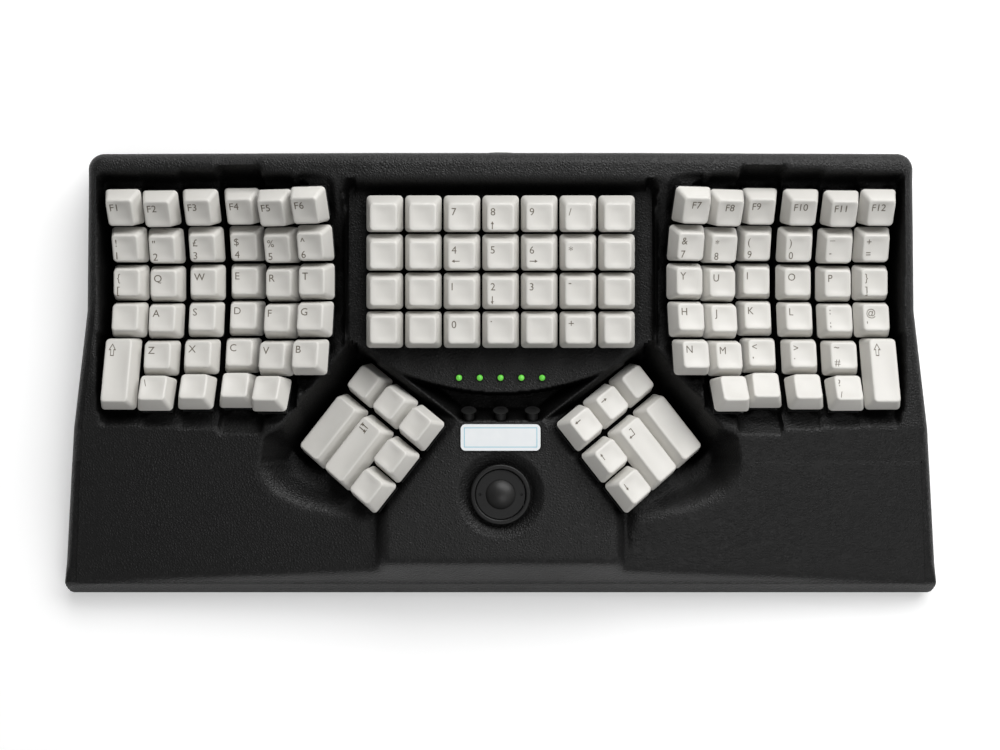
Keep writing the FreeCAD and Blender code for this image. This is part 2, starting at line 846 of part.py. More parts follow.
def screw_places(size):
    """Eight screws from below, four along the back and four along the front."""
    places = []
    for y in (size.block_back_y, size.block_front_y):
        for x in (-size.block_side_x, -size.block_middle_x, size.block_middle_x, size.block_side_x):
            places.append(Placement(Vector(x, y, size.foot_height), Rotation()))
    return places


def foot_places(size):
    xs = (-size.foot_side_x, 0.0, size.foot_side_x)
    ys = (size.foot_back_y, size.foot_front_y)
    return [Placement(Vector(x, y, 0), Rotation()) for y in ys for x in xs]


# Document objects with sizes bound to the sheet


def bind(obj, **expressions):
    for name, expression in expressions.items():
        obj.setExpression(name.replace("__", "."), expression)
    return obj


def centred_box(doc, name, length, width, low, high):
    """A box centred on Z between two heights, all given as expressions."""
    obj = doc.addObject("Part::Box", name)
    bind(obj, Length=length, Width=width, Height="(%s) - (%s)" % (high, low))
    bind(obj, Placement__Base__x="-(%s) / 2" % length, Placement__Base__y="-(%s) / 2" % width)
    bind(obj, Placement__Base__z=low)
    return obj


def cylinder(doc, name, radius, low, high):
    obj = doc.addObject("Part::Cylinder", name)
    bind(obj, Radius=radius, Height="(%s) - (%s)" % (high, low), Placement__Base__z=low)
    return obj


def frustum(doc, name, base, top, low, high, shift="0"):
    """A four-sided frustum on Z: base and top are pairs of width and depth."""
    obj = doc.addObject("Part::Wedge", name)
    obj.Placement = Placement(Vector(0, 0, 0), Rotation(X_AXIS, 90))
    bind(obj, Ymin=low, Ymax=high)
    bind(obj, Xmin="-(%s) / 2" % base[0], Xmax="(%s) / 2" % base[0])
    bind(obj, X2min="-(%s) / 2" % top[0], X2max="(%s) / 2" % top[0])
    bind(obj, Zmin="-(%s) / 2" % base[1], Zmax="(%s) / 2" % base[1])
    bind(obj, Z2min="-(%s) / 2 - (%s)" % (top[1], shift), Z2max="(%s) / 2 - (%s)" % (top[1], shift))
    return obj


def cut(doc, name, base, tool):
    obj = doc.addObject("Part::Cut", name)
    obj.Base = base
    obj.Tool = tool
    return obj


def fuse(doc, name, shapes):
    obj = doc.addObject("Part::MultiFuse", name)
    obj.Shapes = shapes
    return obj


def feature(doc, name, shape):
    """A part whose shape is set in code."""
    obj = doc.addObject("Part::Feature", name)
    obj.Shape = shape
    return obj


def repeated(doc, name, masters, places):
    """One node of separate solids: every master shape at every place."""
    solids = [placed(master.Shape, place) for place in places for master in masters]
    return feature(doc, name, Part.makeCompound(solids))


def make_cap(doc, name, extra):
    """A hollow key cap with a boss that grips the slider's cross; extra lengthens it in Y."""
    side = "Sizes.cap_side"
    base = (side, "Sizes.cap_side + %s" % extra)
    top = ("Sizes.cap_top_width", "Sizes.cap_top_depth + %s" % extra)
    outer = frustum(doc, name + "_outer", base, top, CAP_BOTTOM, CAP_TOP, "Sizes.cap_top_shift")
    wall = "2 * Sizes.cap_wall"
    inner_base = tuple("%s - %s" % (value, wall) for value in base)
    inner_top = tuple("%s - %s" % (value, wall) for value in top)
    roof = "%s - Sizes.cap_roof" % CAP_TOP
    inner = frustum(doc, name + "_inner", inner_base, inner_top, CAP_BOTTOM, roof, "Sizes.cap_top_shift")
    skin = cut(doc, name + "_skin", outer, inner)
    boss_side = "Sizes.cap_boss_side"
    boss_low = "Sizes.slider_shoulder + Sizes.cap_seat_gap"
    boss = centred_box(doc, name + "_boss", boss_side, boss_side, boss_low, roof)
    whole = fuse(doc, name + "_whole", [skin, boss])
    socket = make_cross(doc, name + "_socket", "Sizes.stem_clearance")
    return cut(doc, name, whole, socket)


def make_cross(doc, name, gap):
    """The slider's cross, or the socket for it where a gap is given."""
    length = "Sizes.stem_length + 2 * %s" % gap
    width = "Sizes.stem_width + 2 * %s" % gap
    low = "Sizes.slider_shoulder"
    high = "Sizes.slider_shoulder + Sizes.stem_height + %s" % gap
    along = centred_box(doc, name + "_along", length, width, low, high)
    across = centred_box(doc, name + "_across", width, length, low, high)
    return fuse(doc, name, [along, across])


def make_slider(doc):
    side = "Sizes.switch_bore - 2 * Sizes.slider_clearance"
    block = centred_box(doc, "slider_block", side, side, "Sizes.slider_foot", "Sizes.slider_shoulder")
    cross = make_cross(doc, "slider_cross", "0")
    return fuse(doc, "slider", [block, cross])


def make_housing(doc):
    """Switch housing: body below the plate, flange on it, tapered top and a square bore."""
    body_side = "Sizes.switch_hole - 2 * Sizes.switch_clearance"
    body = centred_box(doc, "housing_body", body_side, body_side, "-Sizes.switch_depth", "0")
    flange_side = "Sizes.switch_flange"
    flange = centred_box(doc, "housing_flange", flange_side, flange_side, "0", "Sizes.switch_flange_height")
    base = ("Sizes.switch_hole", "Sizes.switch_hole")
    top = ("Sizes.switch_top_side", "Sizes.switch_top_side")
    hood = frustum(doc, "housing_hood", base, top, "Sizes.switch_flange_height", "Sizes.switch_top_height")
    whole = fuse(doc, "housing_whole", [body, flange, hood])
    bore_low = "Sizes.slider_foot - Sizes.key_travel - Sizes.stem_clearance"
    bore = centred_box(
        doc, "housing_bore", "Sizes.switch_bore", "Sizes.switch_bore", bore_low, "Sizes.switch_top_height"
    )
    return cut(doc, "housing", whole, bore)


def make_screw(doc):
    """Countersunk screw, head down, measured from the base plate's lower face."""
    head = doc.addObject("Part::Cone", "screw_head")
    bind(head, Radius1="Sizes.screw_head_radius", Radius2="Sizes.screw_shank_radius")
    bind(head, Height="Sizes.screw_head_height")
    shank = cylinder(doc, "screw_shank", "Sizes.screw_shank_radius", "0", "Sizes.screw_length")
    return fuse(doc, "screw", [head, shank])


def make_block(doc):
    """Block inside the shell that a base screw bites into."""
    side = "Sizes.block_side"
    low = "Sizes.base_thickness"
    block = centred_box(doc, "block_body", side, side, low, "Sizes.base_thickness + Sizes.block_height")
    hole = cylinder(doc, "block_hole", "Sizes.screw_shank_radius", low, "Sizes.screw_length")
    return cut(doc, "block", block, hole)


def make_keys(doc, size):
    """Key caps with their sliders, one node for each group of keys with one travel axis."""
    slider = make_slider(doc)
    caps = {
        "single": make_cap(doc, "cap_single", "0"),
        "double": make_cap(doc, "cap_double", "Sizes.thumb_pitch"),
    }
    doc.recompute()
    return [repeated(doc, name, [caps[kind], slider], keys) for name, kind, keys in key_groups(size)]


def make_housings(doc, size):
    """Switch housings, one node each for the left hand, the right hand and the panel."""
    master = make_housing(doc)
    doc.recompute()
    nodes = []
    for hand in ("left", "centre", "right"):
        places = [place for name, _, keys in key_groups(size) if "_%s_" % hand in name for place in keys]
        nodes.append(repeated(doc, "switch_housings_%s" % hand, [master], places))
    return nodes


def make_case(doc, size):
    """Shell, base plate, screws, screw blocks and feet."""
    screw = make_screw(doc)
    block = make_block(doc)
    foot = cylinder(doc, "foot", "Sizes.foot_radius", "0", "Sizes.foot_height")
    doc.recompute()
    places = screw_places(size)
    return [
        feature(doc, "top_shell", shell_shape(size)),
        feature(doc, "base_plate", base_shape(size, places)),
        repeated(doc, "base_screws", [screw], places),
        repeated(doc, "screw_blocks", [block], places),
        repeated(doc, "rubber_feet", [foot], foot_places(size)),
    ]


def make_trackball(doc, size):
    """Ball, cup, bezel, retaining ring and the two rollers that the ball turns."""
    centre = ball_centre(size)
    rim = cup_rim(size)
    axis = Vector(0, size.ball_centre_y, 0)
    underside = size.deck_height - size.dish_depth - size.shell_wall
    bottom = centre.z - size.ball_radius - size.ball_clearance - size.cup_floor
    body = Part.makeCylinder(size.cup_body_radius, underside - bottom, axis + Z_AXIS * bottom)
    tube = Part.makeCylinder(size.cup_tube_radius, rim - bottom, axis + Z_AXIS * bottom)
    room = Part.makeSphere(size.ball_radius + size.ball_clearance, centre)
    mouth = Part.makeCylinder(size.ball_radius + size.ball_clearance, rim - centre.z, centre)
    cup = body.fuse(tube).cut([room, mouth] + roller_rooms(size))
    deck = size.deck_height - size.dish_depth
    bezel_ring = Part.makeCylinder(size.bezel_outer_radius, size.bezel_height, axis + Z_AXIS * deck)
    bezel_bore = Part.makeCylinder(
        size.cup_tube_radius + size.cup_hole_clearance, size.bezel_height, axis + Z_AXIS * deck
    )
    ring = Part.makeCylinder(size.ring_radius, size.ring_thickness, axis + Z_AXIS * rim)
    opening = Part.makeSphere(size.ball_radius + size.ball_clearance, centre)
    spanner = [
        Part.makeCylinder(
            size.spanner_hole_radius,
            size.ring_thickness / 2,
            Vector(side * size.spanner_hole_place, size.ball_centre_y, rim + size.ring_thickness / 2),
        )
        for side in (-1, 1)
    ]
    ring = ring.cut([opening] + spanner)
    bezel = bezel_ring.cut(bezel_bore)
    edge = [e for e in bezel.Edges if abs(e.CenterOfMass.z - deck - size.bezel_height) < NEAR]
    bezel = bezel.makeFillet(size.bezel_edge_radius, edge)
    return [
        feature(doc, "trackball_cup", cup),
        feature(doc, "trackball_bezel", bezel),
        feature(doc, "retaining_ring", ring),
        feature(doc, "trackball", Part.makeSphere(size.ball_radius, centre)),
        feature(doc, "roller_front", placed(roller_shape(size), roller_frame(size, "front"))),
        feature(doc, "roller_side", placed(roller_shape(size), roller_frame(size, "side"))),
    ]


def roller_shape(size):
    """A drum on a thin shaft, along X and centred on the origin."""
    start = X_AXIS * (-size.roller_length / 2)
    drum = Part.makeCylinder(size.roller_radius, size.roller_length, start, X_AXIS)
    start = X_AXIS * (-size.roller_shaft_length / 2)
    shaft = Part.makeCylinder(size.roller_shaft_radius, size.roller_shaft_length, start, X_AXIS)
    return drum.fuse(shaft)


def roller_frame(size, place):
    """Where a roller lies beside the ball, at the height of the ball's centre."""
    reach = size.ball_radius + size.roller_radius + size.roller_ball_gap
    if place == "front":
        return Placement(ball_centre(size) - Y_AXIS * reach, Rotation())
    return Placement(ball_centre(size) + X_AXIS * reach, Rotation(Z_AXIS, 90))


def roller_rooms(size):
    """Room for both rollers in the cup, with a bearing bore at each end of the shafts."""
    gap = size.roller_room
    half = size.roller_length / 2 + gap
    side = size.roller_radius + gap
    room = box_between(Vector(-half, -side, -side), Vector(half, side, side))
    bore_radius = size.roller_shaft_radius + size.shaft_clearance
    length = size.roller_shaft_length + 2 * gap
    bore = Part.makeCylinder(bore_radius, length, X_AXIS * (-length / 2), X_AXIS)
    tool = room.fuse(bore)
    return [placed(tool, roller_frame(size, place)) for place in ("front", "side")]


def make_buttons(doc, size):
    """Three push buttons and the small switches behind them."""
    low = "Sizes.button_rise - Sizes.button_length"
    button = cylinder(doc, "button", "Sizes.button_radius", low, "Sizes.button_rise")
    side = "Sizes.button_switch_side"
    top = "Sizes.button_rise - Sizes.button_length - Sizes.button_travel - Sizes.button_clearance"
    switch = centred_box(doc, "button_switch", side, side, top + " - Sizes.button_switch_height", top)
    doc.recompute()
    frames = [button_frame(size, index) for index in range(len(BUTTON_NAMES))]
    nodes = [
        repeated(doc, "push_button_%s" % name, [button], [frame])
        for name, frame in zip(BUTTON_NAMES, frames)
    ]
    return nodes + [repeated(doc, "button_switches", [switch], frames)]


def make_lights(doc, size):
    """Indicator lights in the number panel, and their board below."""
    radius = "Sizes.light_radius"
    body = cylinder(doc, "light_body", radius, "Sizes.light_rise - Sizes.light_length", "Sizes.light_rise")
    dome = doc.addObject("Part::Sphere", "light_dome")
    bind(dome, Radius=radius, Placement__Base__z="Sizes.light_rise")
    light = fuse(doc, "light", [body, dome])
    doc.recompute()
    top = size.panel_height + size.light_rise - size.light_length
    half = Vector(size.light_board_length / 2, size.light_board_width / 2, 0)
    centre = Vector(0, size.light_y, top)
    board = box_between(centre - half - Z_AXIS * size.board_thickness, centre + half)
    return [
        repeated(doc, "indicator_lights", [light], light_places(size)),
        feature(doc, "indicator_board", board),
    ]


def make_badge(doc, size):
    """The bare badge plate on the deck."""
    plate = doc.addObject("Part::Box", "badge_blank")
    bind(plate, Length="Sizes.badge_length", Width="Sizes.badge_width", Height="Sizes.badge_thickness")
    bind(plate, Placement__Base__x="-Sizes.badge_length / 2")
    bind(plate, Placement__Base__y="Sizes.badge_centre_y - Sizes.badge_width / 2")
    bind(plate, Placement__Base__z="Sizes.deck_height")
    doc.recompute()
    corners = [e for e in plate.Shape.Edges if abs(e.tangentAt(e.FirstParameter).z) > NEAR]
    return feature(doc, "badge_plate", plate.Shape.makeFillet(size.badge_corner_radius, corners))


def make_board(doc, size):
    """Controller board on four pillars that stand on the base plate."""
    top = base_top(size) + size.pillar_height
    x = size.board_length / 2 - size.pillar_inset
    y = size.board_width / 2 - size.pillar_inset
    half = size.pillar_side / 2
    pillars = []
    for cx, cy in ((-x, -y), (x, -y), (x, y), (-x, y)):
        middle = Vector(cx, size.board_centre_y + cy, 0)
        low = middle + Vector(-half, -half, base_top(size))
        pillars.append(box_between(low, middle + Vector(half, half, top)))
    centre = Vector(0, size.board_centre_y, top)
    reach = Vector(size.board_length / 2, size.board_width / 2, 0)
    board = box_between(centre - reach, centre + reach + Z_AXIS * size.board_thickness)
    return [
        feature(doc, "controller_board", board),
        feature(doc, "board_pillars", Part.makeCompound(pillars)),
    ]


def make_inlet(doc, size):
    """Cable grommet in the back wall: outer flange, neck, inner flange and bore."""
    wall = "-Sizes.shell_wall"
    flange = "Sizes.inlet_flange_radius"
    outer = cylinder(doc, "inlet_outer", flange, "0", "Sizes.inlet_flange_thickness")
    neck = cylinder(doc, "inlet_neck", "Sizes.inlet_neck_radius", wall, "0")
    inner_low = "-Sizes.shell_wall - Sizes.inlet_inner_flange_thickness"
    inner = cylinder(doc, "inlet_inner", flange, inner_low, wall)
    whole = fuse(doc, "inlet_whole", [outer, neck, inner])
    bore = cylinder(doc, "inlet_bore", "Sizes.inlet_bore_radius", inner_low, "Sizes.inlet_flange_thickness")
    grommet = cut(doc, "inlet", whole, bore)
    doc.recompute()
    return repeated(doc, "cable_grommet", [grommet], [inlet_frame(size)])


def check_document(doc):
    """Stop if the document holds an object that failed to build."""
    failed = [obj.Name for obj in doc.Objects if "Invalid" in obj.State or "Error" in obj.State]
    if failed:
        raise RuntimeError("objects that failed: %s" % ", ".join(failed))


def check_nodes(nodes):
    """Stop if a sub-part has no valid shape."""
    for node in nodes:
        if node.Shape.isNull() or not node.Shape.isValid() or not node.Shape.Solids:
            raise RuntimeError("bad shape: %s" % node.Name)


def main():
    doc = FreeCAD.newDocument("ErgonomicKeyboard")
    size = read_sizes(make_sheet(doc))
    nodes = make_case(doc, size)
    nodes += make_keys(doc, size)
    nodes += make_housings(doc, size)
    nodes += make_trackball(doc, size)
    nodes += make_buttons(doc, size)
    nodes += make_lights(doc, size)
    nodes += make_board(doc, size)
    nodes.append(make_badge(doc, size))
    nodes.append(make_inlet(doc, size))
    for node in nodes:
        node.Label = node.Name
    doc.recompute()
    check_document(doc)
    check_nodes(nodes)
    os.makedirs("parts", exist_ok=True)
    for node in nodes:
        node.Shape.exportStep("parts/%s.step" % node.Label)
    print("%d sub-parts written" % len(nodes))


main()
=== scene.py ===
import json
import math

import bpy
from mathutils import Matrix, Vector
from mathutils.bvhtree import BVHTree


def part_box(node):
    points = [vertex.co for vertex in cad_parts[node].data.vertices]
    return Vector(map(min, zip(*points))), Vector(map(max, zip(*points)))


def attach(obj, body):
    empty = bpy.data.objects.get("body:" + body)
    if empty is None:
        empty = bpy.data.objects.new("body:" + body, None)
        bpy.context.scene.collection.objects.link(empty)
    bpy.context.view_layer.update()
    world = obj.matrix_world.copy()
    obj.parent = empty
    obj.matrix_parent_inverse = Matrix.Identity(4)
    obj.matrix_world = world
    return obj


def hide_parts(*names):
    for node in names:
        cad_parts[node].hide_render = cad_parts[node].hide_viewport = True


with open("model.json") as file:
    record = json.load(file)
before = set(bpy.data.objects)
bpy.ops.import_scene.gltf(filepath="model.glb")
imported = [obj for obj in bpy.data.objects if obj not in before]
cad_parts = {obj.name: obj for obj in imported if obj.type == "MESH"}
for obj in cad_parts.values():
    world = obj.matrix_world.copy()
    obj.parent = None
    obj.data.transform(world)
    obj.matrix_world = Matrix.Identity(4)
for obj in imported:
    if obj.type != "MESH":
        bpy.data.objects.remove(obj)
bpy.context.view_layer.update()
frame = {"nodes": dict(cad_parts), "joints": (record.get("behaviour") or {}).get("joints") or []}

BALL_LOW, BALL_HIGH = (Vector(corner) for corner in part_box("trackball"))
BALL_CENTRE = (BALL_LOW + BALL_HIGH) / 2

# Sizes in metres. The camera looks straight down on the keyboard.

MM = 0.001
CAMERA_HEIGHT = 0.8
CAMERA_X = -0.0003
CAMERA_Y = 0.0007
SENSOR_WIDTH = 36.0
FOCAL_LENGTH = 54.9

# Lamps: place, width, height and power
LAMPS = (
    ("back_softbox", (0.50, 1.05, 1.00), 2.0, 0.8, 31.0),
    ("front_softbox", (0.34, -0.62, 1.20), 0.8, 0.7, 4.6),
)
WORLD_LEVEL = 0.19
FLOOR_GLOW = 0.28

# Formed shell: a fine sheet is draped over the frame's shell and relaxed, so its edges turn soft
DRAPE_STEP = 1.15 * MM
DRAPE_TOP = 90.0 * MM
CRISP_CUTS = 1
SHELL_SMOOTH_ANGLE = 60

# Rounds of smoothing: over all but the crisp hollows, over the thumb bowls, and over everything
EDGE_SOFTNESS = 6
BOWL_SOFTNESS = 14
SHEET_SOFTNESS = 2

# Plan of the shell's hollows: the middle ones, then those that both sides have
TRENCH_HALF_WIDTH = 64.0 * MM
TRENCH_FRONT = -27.0 * MM
TRENCH_BACK = 6.0 * MM
PIT_RADIUS = 23.0 * MM
BALL_HOLE_RADIUS = 13.2 * MM
BOWL_INNER = 64.0 * MM
BOWL_OUTER = 125.0 * MM
BOWL_FRONT = -82.0 * MM
BOWL_BACK = -42.0 * MM
WELL_INNER = 72.0 * MM
WELL_FRONT = -44.0 * MM
INNER_WALL_REACH = 100.0 * MM

# Outer wall of the shell and the round rim above it
RIM_RADIUS = 6.0 * MM
FRONT_RIM_RADIUS = 2.0 * MM
RIM_INSET = RIM_RADIUS + 1.0 * MM
RIM_TURNS = 6
WALL_ROWS = 6
FRONT_FACE_RUN = 6.5 * MM
BACK_FACE_RUN = RIM_INSET + 2.0 * MM
CORNER_REACH = 10.0 * MM

# Rays that feel for the outer wall from outside it
RAY_START = 80.0 * MM
RAY_LENGTH = 200.0 * MM
RAY_STEP = 0.5 * MM
RAY_HEIGHT = 4.0 * MM
RAY_LOWEST = 0.2 * MM

# Key caps
CAP_WALL = 1.5 * MM
CAP_HOLLOW = 6.8 * MM
CAP_CEILING_SHARE = 0.65
CAP_TOP_WIDTH = 13.4 * MM
CAP_TOP_DEPTH = 13.6 * MM
CAP_TOP_SHIFT = -0.5 * MM
CAP_CORNER = 2.0 * MM
CAP_CORNER_STEPS = 5
CAP_EDGE = 0.7 * MM
CAP_EDGE_STEPS = 3
CAP_RIM = 0.35 * MM
CAP_DISH = 0.75 * MM
CAP_CUTS = 8
CAP_SMOOTH_ANGLE = 50
TALL_CAP_RATIO = 1.5

# How a cap is told from a slider, and how near its top, foot or corners a point counts as on them
SMALLEST_CAP_REACH = 10.0 * MM
TOP_SLACK = CAP_EDGE / 10
FOOT_SLACK = 0.05 * MM
CORNER_SLACK = 0.1 * MM
MERGE_DISTANCE = 0.01 * MM

# Legends
LEGEND_LIFT = 0.05 * MM
LEGEND_SIZE = 5.2 * MM
LEGEND_LEFT = -4.9 * MM
LEGEND_HIGH = 4.5 * MM
LEGEND_LOW = -2.0 * MM
LEGEND_CURVE_STEPS = 3

# Trackball and push buttons
BALL_DIVISIONS = 5
BALL_SMOOTH_ANGLE = 60
BUTTON_SIDES = 48
BUTTON_EDGE_STEPS = 4
BUTTON_SMOOTH_ANGLE = 40

# A push button's softened edge, rim, hollow edge and hollow depth, in radii
BUTTON_EDGE = 0.2
BUTTON_RIM = 0.25
BUTTON_HOLLOW_EDGE = 0.2
BUTTON_HOLLOW_DEPTH = 0.06

# Faces whose normal lies this far along an axis look that way
FACING = 0.9
FLAT_UP = 0.99

# Badge plate's line, counted from the plate's edge
BADGE_BORDER = 1.6 * MM
BADGE_LINE = 0.45 * MM

# Floor
FLOOR_SIZE = 6.0
FLOOR_DROP = 0.2 * MM

# Textures of the finishes, in repeats to the metre
LEATHER_PEBBLES = 720.0
LEATHER_CREASES = 900.0
WEAR_PATCHES = 28.0
CAP_CLOUDS = 90.0
CAP_GRAIN = 3200.0
INK_CLOUDS = 900.0
MOULDED_CLOUDS = 120.0
MOULDED_GRAIN = 1800.0
BALL_HAZE = 160.0
RUBBER_GRAIN = 1500.0
DRAWN_LINES = 900.0
LENS_CLOUDS = 500.0
BOARD_TRACKS = 260.0
BADGE_CLOUDS = 220.0
PAPER_CLOUDS = 3.0

# How deep the textures stand out
LEATHER_RELIEF = 0.5 * MM
CAP_RELIEF = 0.02 * MM
MOULDED_RELIEF = 0.03 * MM
RUBBER_RELIEF = 0.05 * MM
METAL_RELIEF = 0.01 * MM

# Colours of the finishes, from their darker to their paler patches
CAP_GREYS = ((0.585, 0.570, 0.535, 1.0), (0.635, 0.622, 0.590, 1.0))
INK_BROWNS = ((0.095, 0.078, 0.058, 1.0), (0.140, 0.120, 0.092, 1.0))
LENS_GREENS = ((0.05, 0.32, 0.04, 1.0), (0.12, 0.50, 0.07, 1.0))
GLOW_GREENS = ((0.04, 0.22, 0.02, 1.0), (0.12, 0.38, 0.04, 1.0))
BOARD_GREENS = ((0.010, 0.085, 0.035, 1.0), (0.030, 0.150, 0.060, 1.0))
BADGE_WHITES = ((0.76, 0.79, 0.81, 1.0), (0.82, 0.84, 0.85, 1.0))
BADGE_BLUE = (0.33, 0.58, 0.68, 1.0)

# Painted shade: a dull black, which hardly shines, mixed into the shell where other surfaces stand close
# around, and how far a surface feels for others around it
PAINTED_SHADE_BLACK = 0.0005
PAINTED_SHADE_ROUGHNESS = 0.9
PAINTED_SHADE_SPECULAR = 0.02
PAINTED_SHADE_REACH = 22.0 * MM

# How far the tops of the number panel's sculpted caps lie towards the front, row by row
ROW_TOP_SHIFTS = {
    "keys_centre_row_1": -2.6 * MM,
    "keys_centre_row_2": -2.2 * MM,
    "keys_centre_row_3": -1.1 * MM,
}

# Legends of each row of keys, from left to right: upper line, then lower line; empty is a bare cap
LEGENDS = {
    "keys_left_function_outer": ("F1", "F2", "F3", "F4"),
    "keys_left_function_inner": ("F5", "F6"),
    "keys_left_number_outer": ("!|1", '"|2', "£|3", "$|4"),
    "keys_left_number_inner": ("%|5", "^|6"),
    "keys_left_upper_outer": ("{|[", "Q", "W", "E"),
    "keys_left_upper_inner": ("R", "T"),
    "keys_left_home_outer": ("", "A", "S", "D"),
    "keys_left_home_inner": ("F", "G"),
    "keys_left_lower_outer": ("Z", "X", "C"),
    "keys_left_lower_inner": ("V", "B"),
    "keys_left_bottom_outer": ("\\", "", ""),
    "key_left_tall": ("⇧",),
    "keys_right_function_inner": ("F7", "F8"),
    "keys_right_function_outer": ("F9", "F10", "F11", "F12"),
    "keys_right_number_inner": ("&|7", "*|8"),
    "keys_right_number_outer": ("(|9", ")|0", "_|-", "+|="),
    "keys_right_upper_inner": ("Y", "U"),
    "keys_right_upper_outer": ("I", "O", "P", "}|]"),
    "keys_right_home_inner": ("H", "J"),
    "keys_right_home_outer": ("K", "L", ":|;", "@|'"),
    "keys_right_lower_inner": ("N", "M"),
    "keys_right_lower_outer": ("<|,", ">|.", "~|#"),
    "keys_right_bottom_outer": ("", "", "?|/"),
    "key_right_tall": ("⇧",),
    "keys_left_thumb_bars": ("", "⇥"),
    "keys_right_thumb_back": ("←", "→", ""),
    "keys_right_thumb_bars": ("↵", ""),
    "keys_right_thumb_inner": ("↑", "↓"),
    "keys_centre_row_1": ("", "", "7", "8|↑", "9", "/", ""),
    "keys_centre_row_2": ("", "", "4|←", "5", "6|→", "*", ""),
    "keys_centre_row_3": ("", "", "1", "2|↓", "3", "-", ""),
    "keys_centre_row_4": ("", "", "0", ".", "", "+", ""),
}
LEGEND_SCALES = {"⇧": (0.85, 1.6)}
LEGEND_SHIFTS = {"keys_right_function_inner": 2.6 * MM}

# Arrow signs in letter heights: strokes between two points, and heads at a point, turned from upwards
SIGN_LETTER_SHARE = 0.66
SIGN_STROKE = 0.13
SIGN_HEAD = 0.28
SIGNS = {
    "↑": (((0.2, 0.0, 0.2, 0.8),), ((0.2, 0.8, 0),)),
    "↓": (((0.2, 0.2, 0.2, 1.0),), ((0.2, 0.2, 180),)),
    "←": (((0.2, 0.5, 1.0, 0.5),), ((0.2, 0.5, 90),)),
    "→": (((0.0, 0.5, 0.8, 0.5),), ((0.8, 0.5, 270),)),
    "↵": (((0.2, 0.2, 1.1, 0.2), (1.1, 0.2, 1.1, 1.2), (0.8, 1.2, 1.1, 1.2)), ((0.2, 0.2, 90),)),
    "⇥": (
        ((0.2, 0.9, 1.2, 0.9), (0.0, 0.65, 0.0, 1.15), (0.0, 0.3, 1.0, 0.3), (1.2, 0.05, 1.2, 0.55)),
        ((0.2, 0.9, 90), (1.0, 0.3, 270)),
    ),
}


# Modelling helpers


def deselect():
    if bpy.context.object and bpy.context.object.mode != "OBJECT":
        bpy.ops.object.mode_set(mode="OBJECT")
    bpy.ops.object.select_all(action="DESELECT")


def activate(obj):
    deselect()
    obj.select_set(True)
    bpy.context.view_layer.objects.active = obj


def unselect_all(obj):
    for part in (obj.data.vertices, obj.data.edges, obj.data.polygons):
        part.foreach_set("select", [False] * len(part))


def select_points(obj, test):
    """In edit mode, select the points whose place passes a test."""
    activate(obj)
    unselect_all(obj)
    for vertex in obj.data.vertices:
        vertex.select = test(vertex.co)
    bpy.context.tool_settings.mesh_select_mode = (True, False, False)
    bpy.ops.object.mode_set(mode="EDIT")


def select_faces(obj, test):
    """In edit mode, select the faces whose centre and normal pass a test."""
    bpy.ops.object.mode_set(mode="OBJECT")
    unselect_all(obj)
    for face in obj.data.polygons:
        face.select = test(face.center, face.normal)
    bpy.context.tool_settings.mesh_select_mode = (False, False, True)
    bpy.ops.object.mode_set(mode="EDIT")


def select_edges(obj, test):
    """In edit mode, select the edges whose two ends pass a test."""
    bpy.ops.object.mode_set(mode="OBJECT")
    unselect_all(obj)
    points = [v.co.copy() for v in obj.data.vertices]
    for edge in obj.data.edges:
        edge.select = test(points[edge.vertices[0]], points[edge.vertices[1]])
    bpy.context.tool_settings.mesh_select_mode = (False, True, False)
    bpy.ops.object.mode_set(mode="EDIT")


def smooth_by_angle(obj, angle):
    activate(obj)
    bpy.ops.object.shade_smooth_by_angle(angle=math.radians(angle))


def copy_piece(master, name, place):
    """A copy of a piece with a mesh of its own, set in place in the mesh."""
    piece = master.copy()
    piece.data = master.data.copy()
    piece.name = name
    piece.data.name = name
    bpy.context.scene.collection.objects.link(piece)
    piece.data.transform(place)
    return piece


def finish_piece(piece, body, material, slot, *nodes):
    """Give a piece its finish, let it ride on its body and stand for its nodes."""
    if material:
        piece.data.materials.clear()
        piece.data.materials.append(material)
    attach(piece, body)
    if nodes:
        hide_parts(*nodes)
    return piece


# Shader helpers


class Value:
    """A socket that takes part in sums as a number does."""

    def __init__(self, paint, socket):
        self.paint = paint
        self.socket = socket

    def maths(self, operation, other, swapped=False):
        pair = [other, self] if swapped else [self, other]
        return self.paint.node("ShaderNodeMath", {"operation": operation}, {0: pair[0], 1: pair[1]})

    def __add__(self, other):
        return self.maths("ADD", other)

    def __mul__(self, other):
        return self.maths("MULTIPLY", other)

    def __rsub__(self, other):
        return self.maths("SUBTRACT", other, swapped=True)

    def __lt__(self, other):
        return self.maths("LESS_THAN", other)

    def __gt__(self, other):
        return self.maths("GREATER_THAN", other)

    __radd__ = __add__
    __rmul__ = __mul__


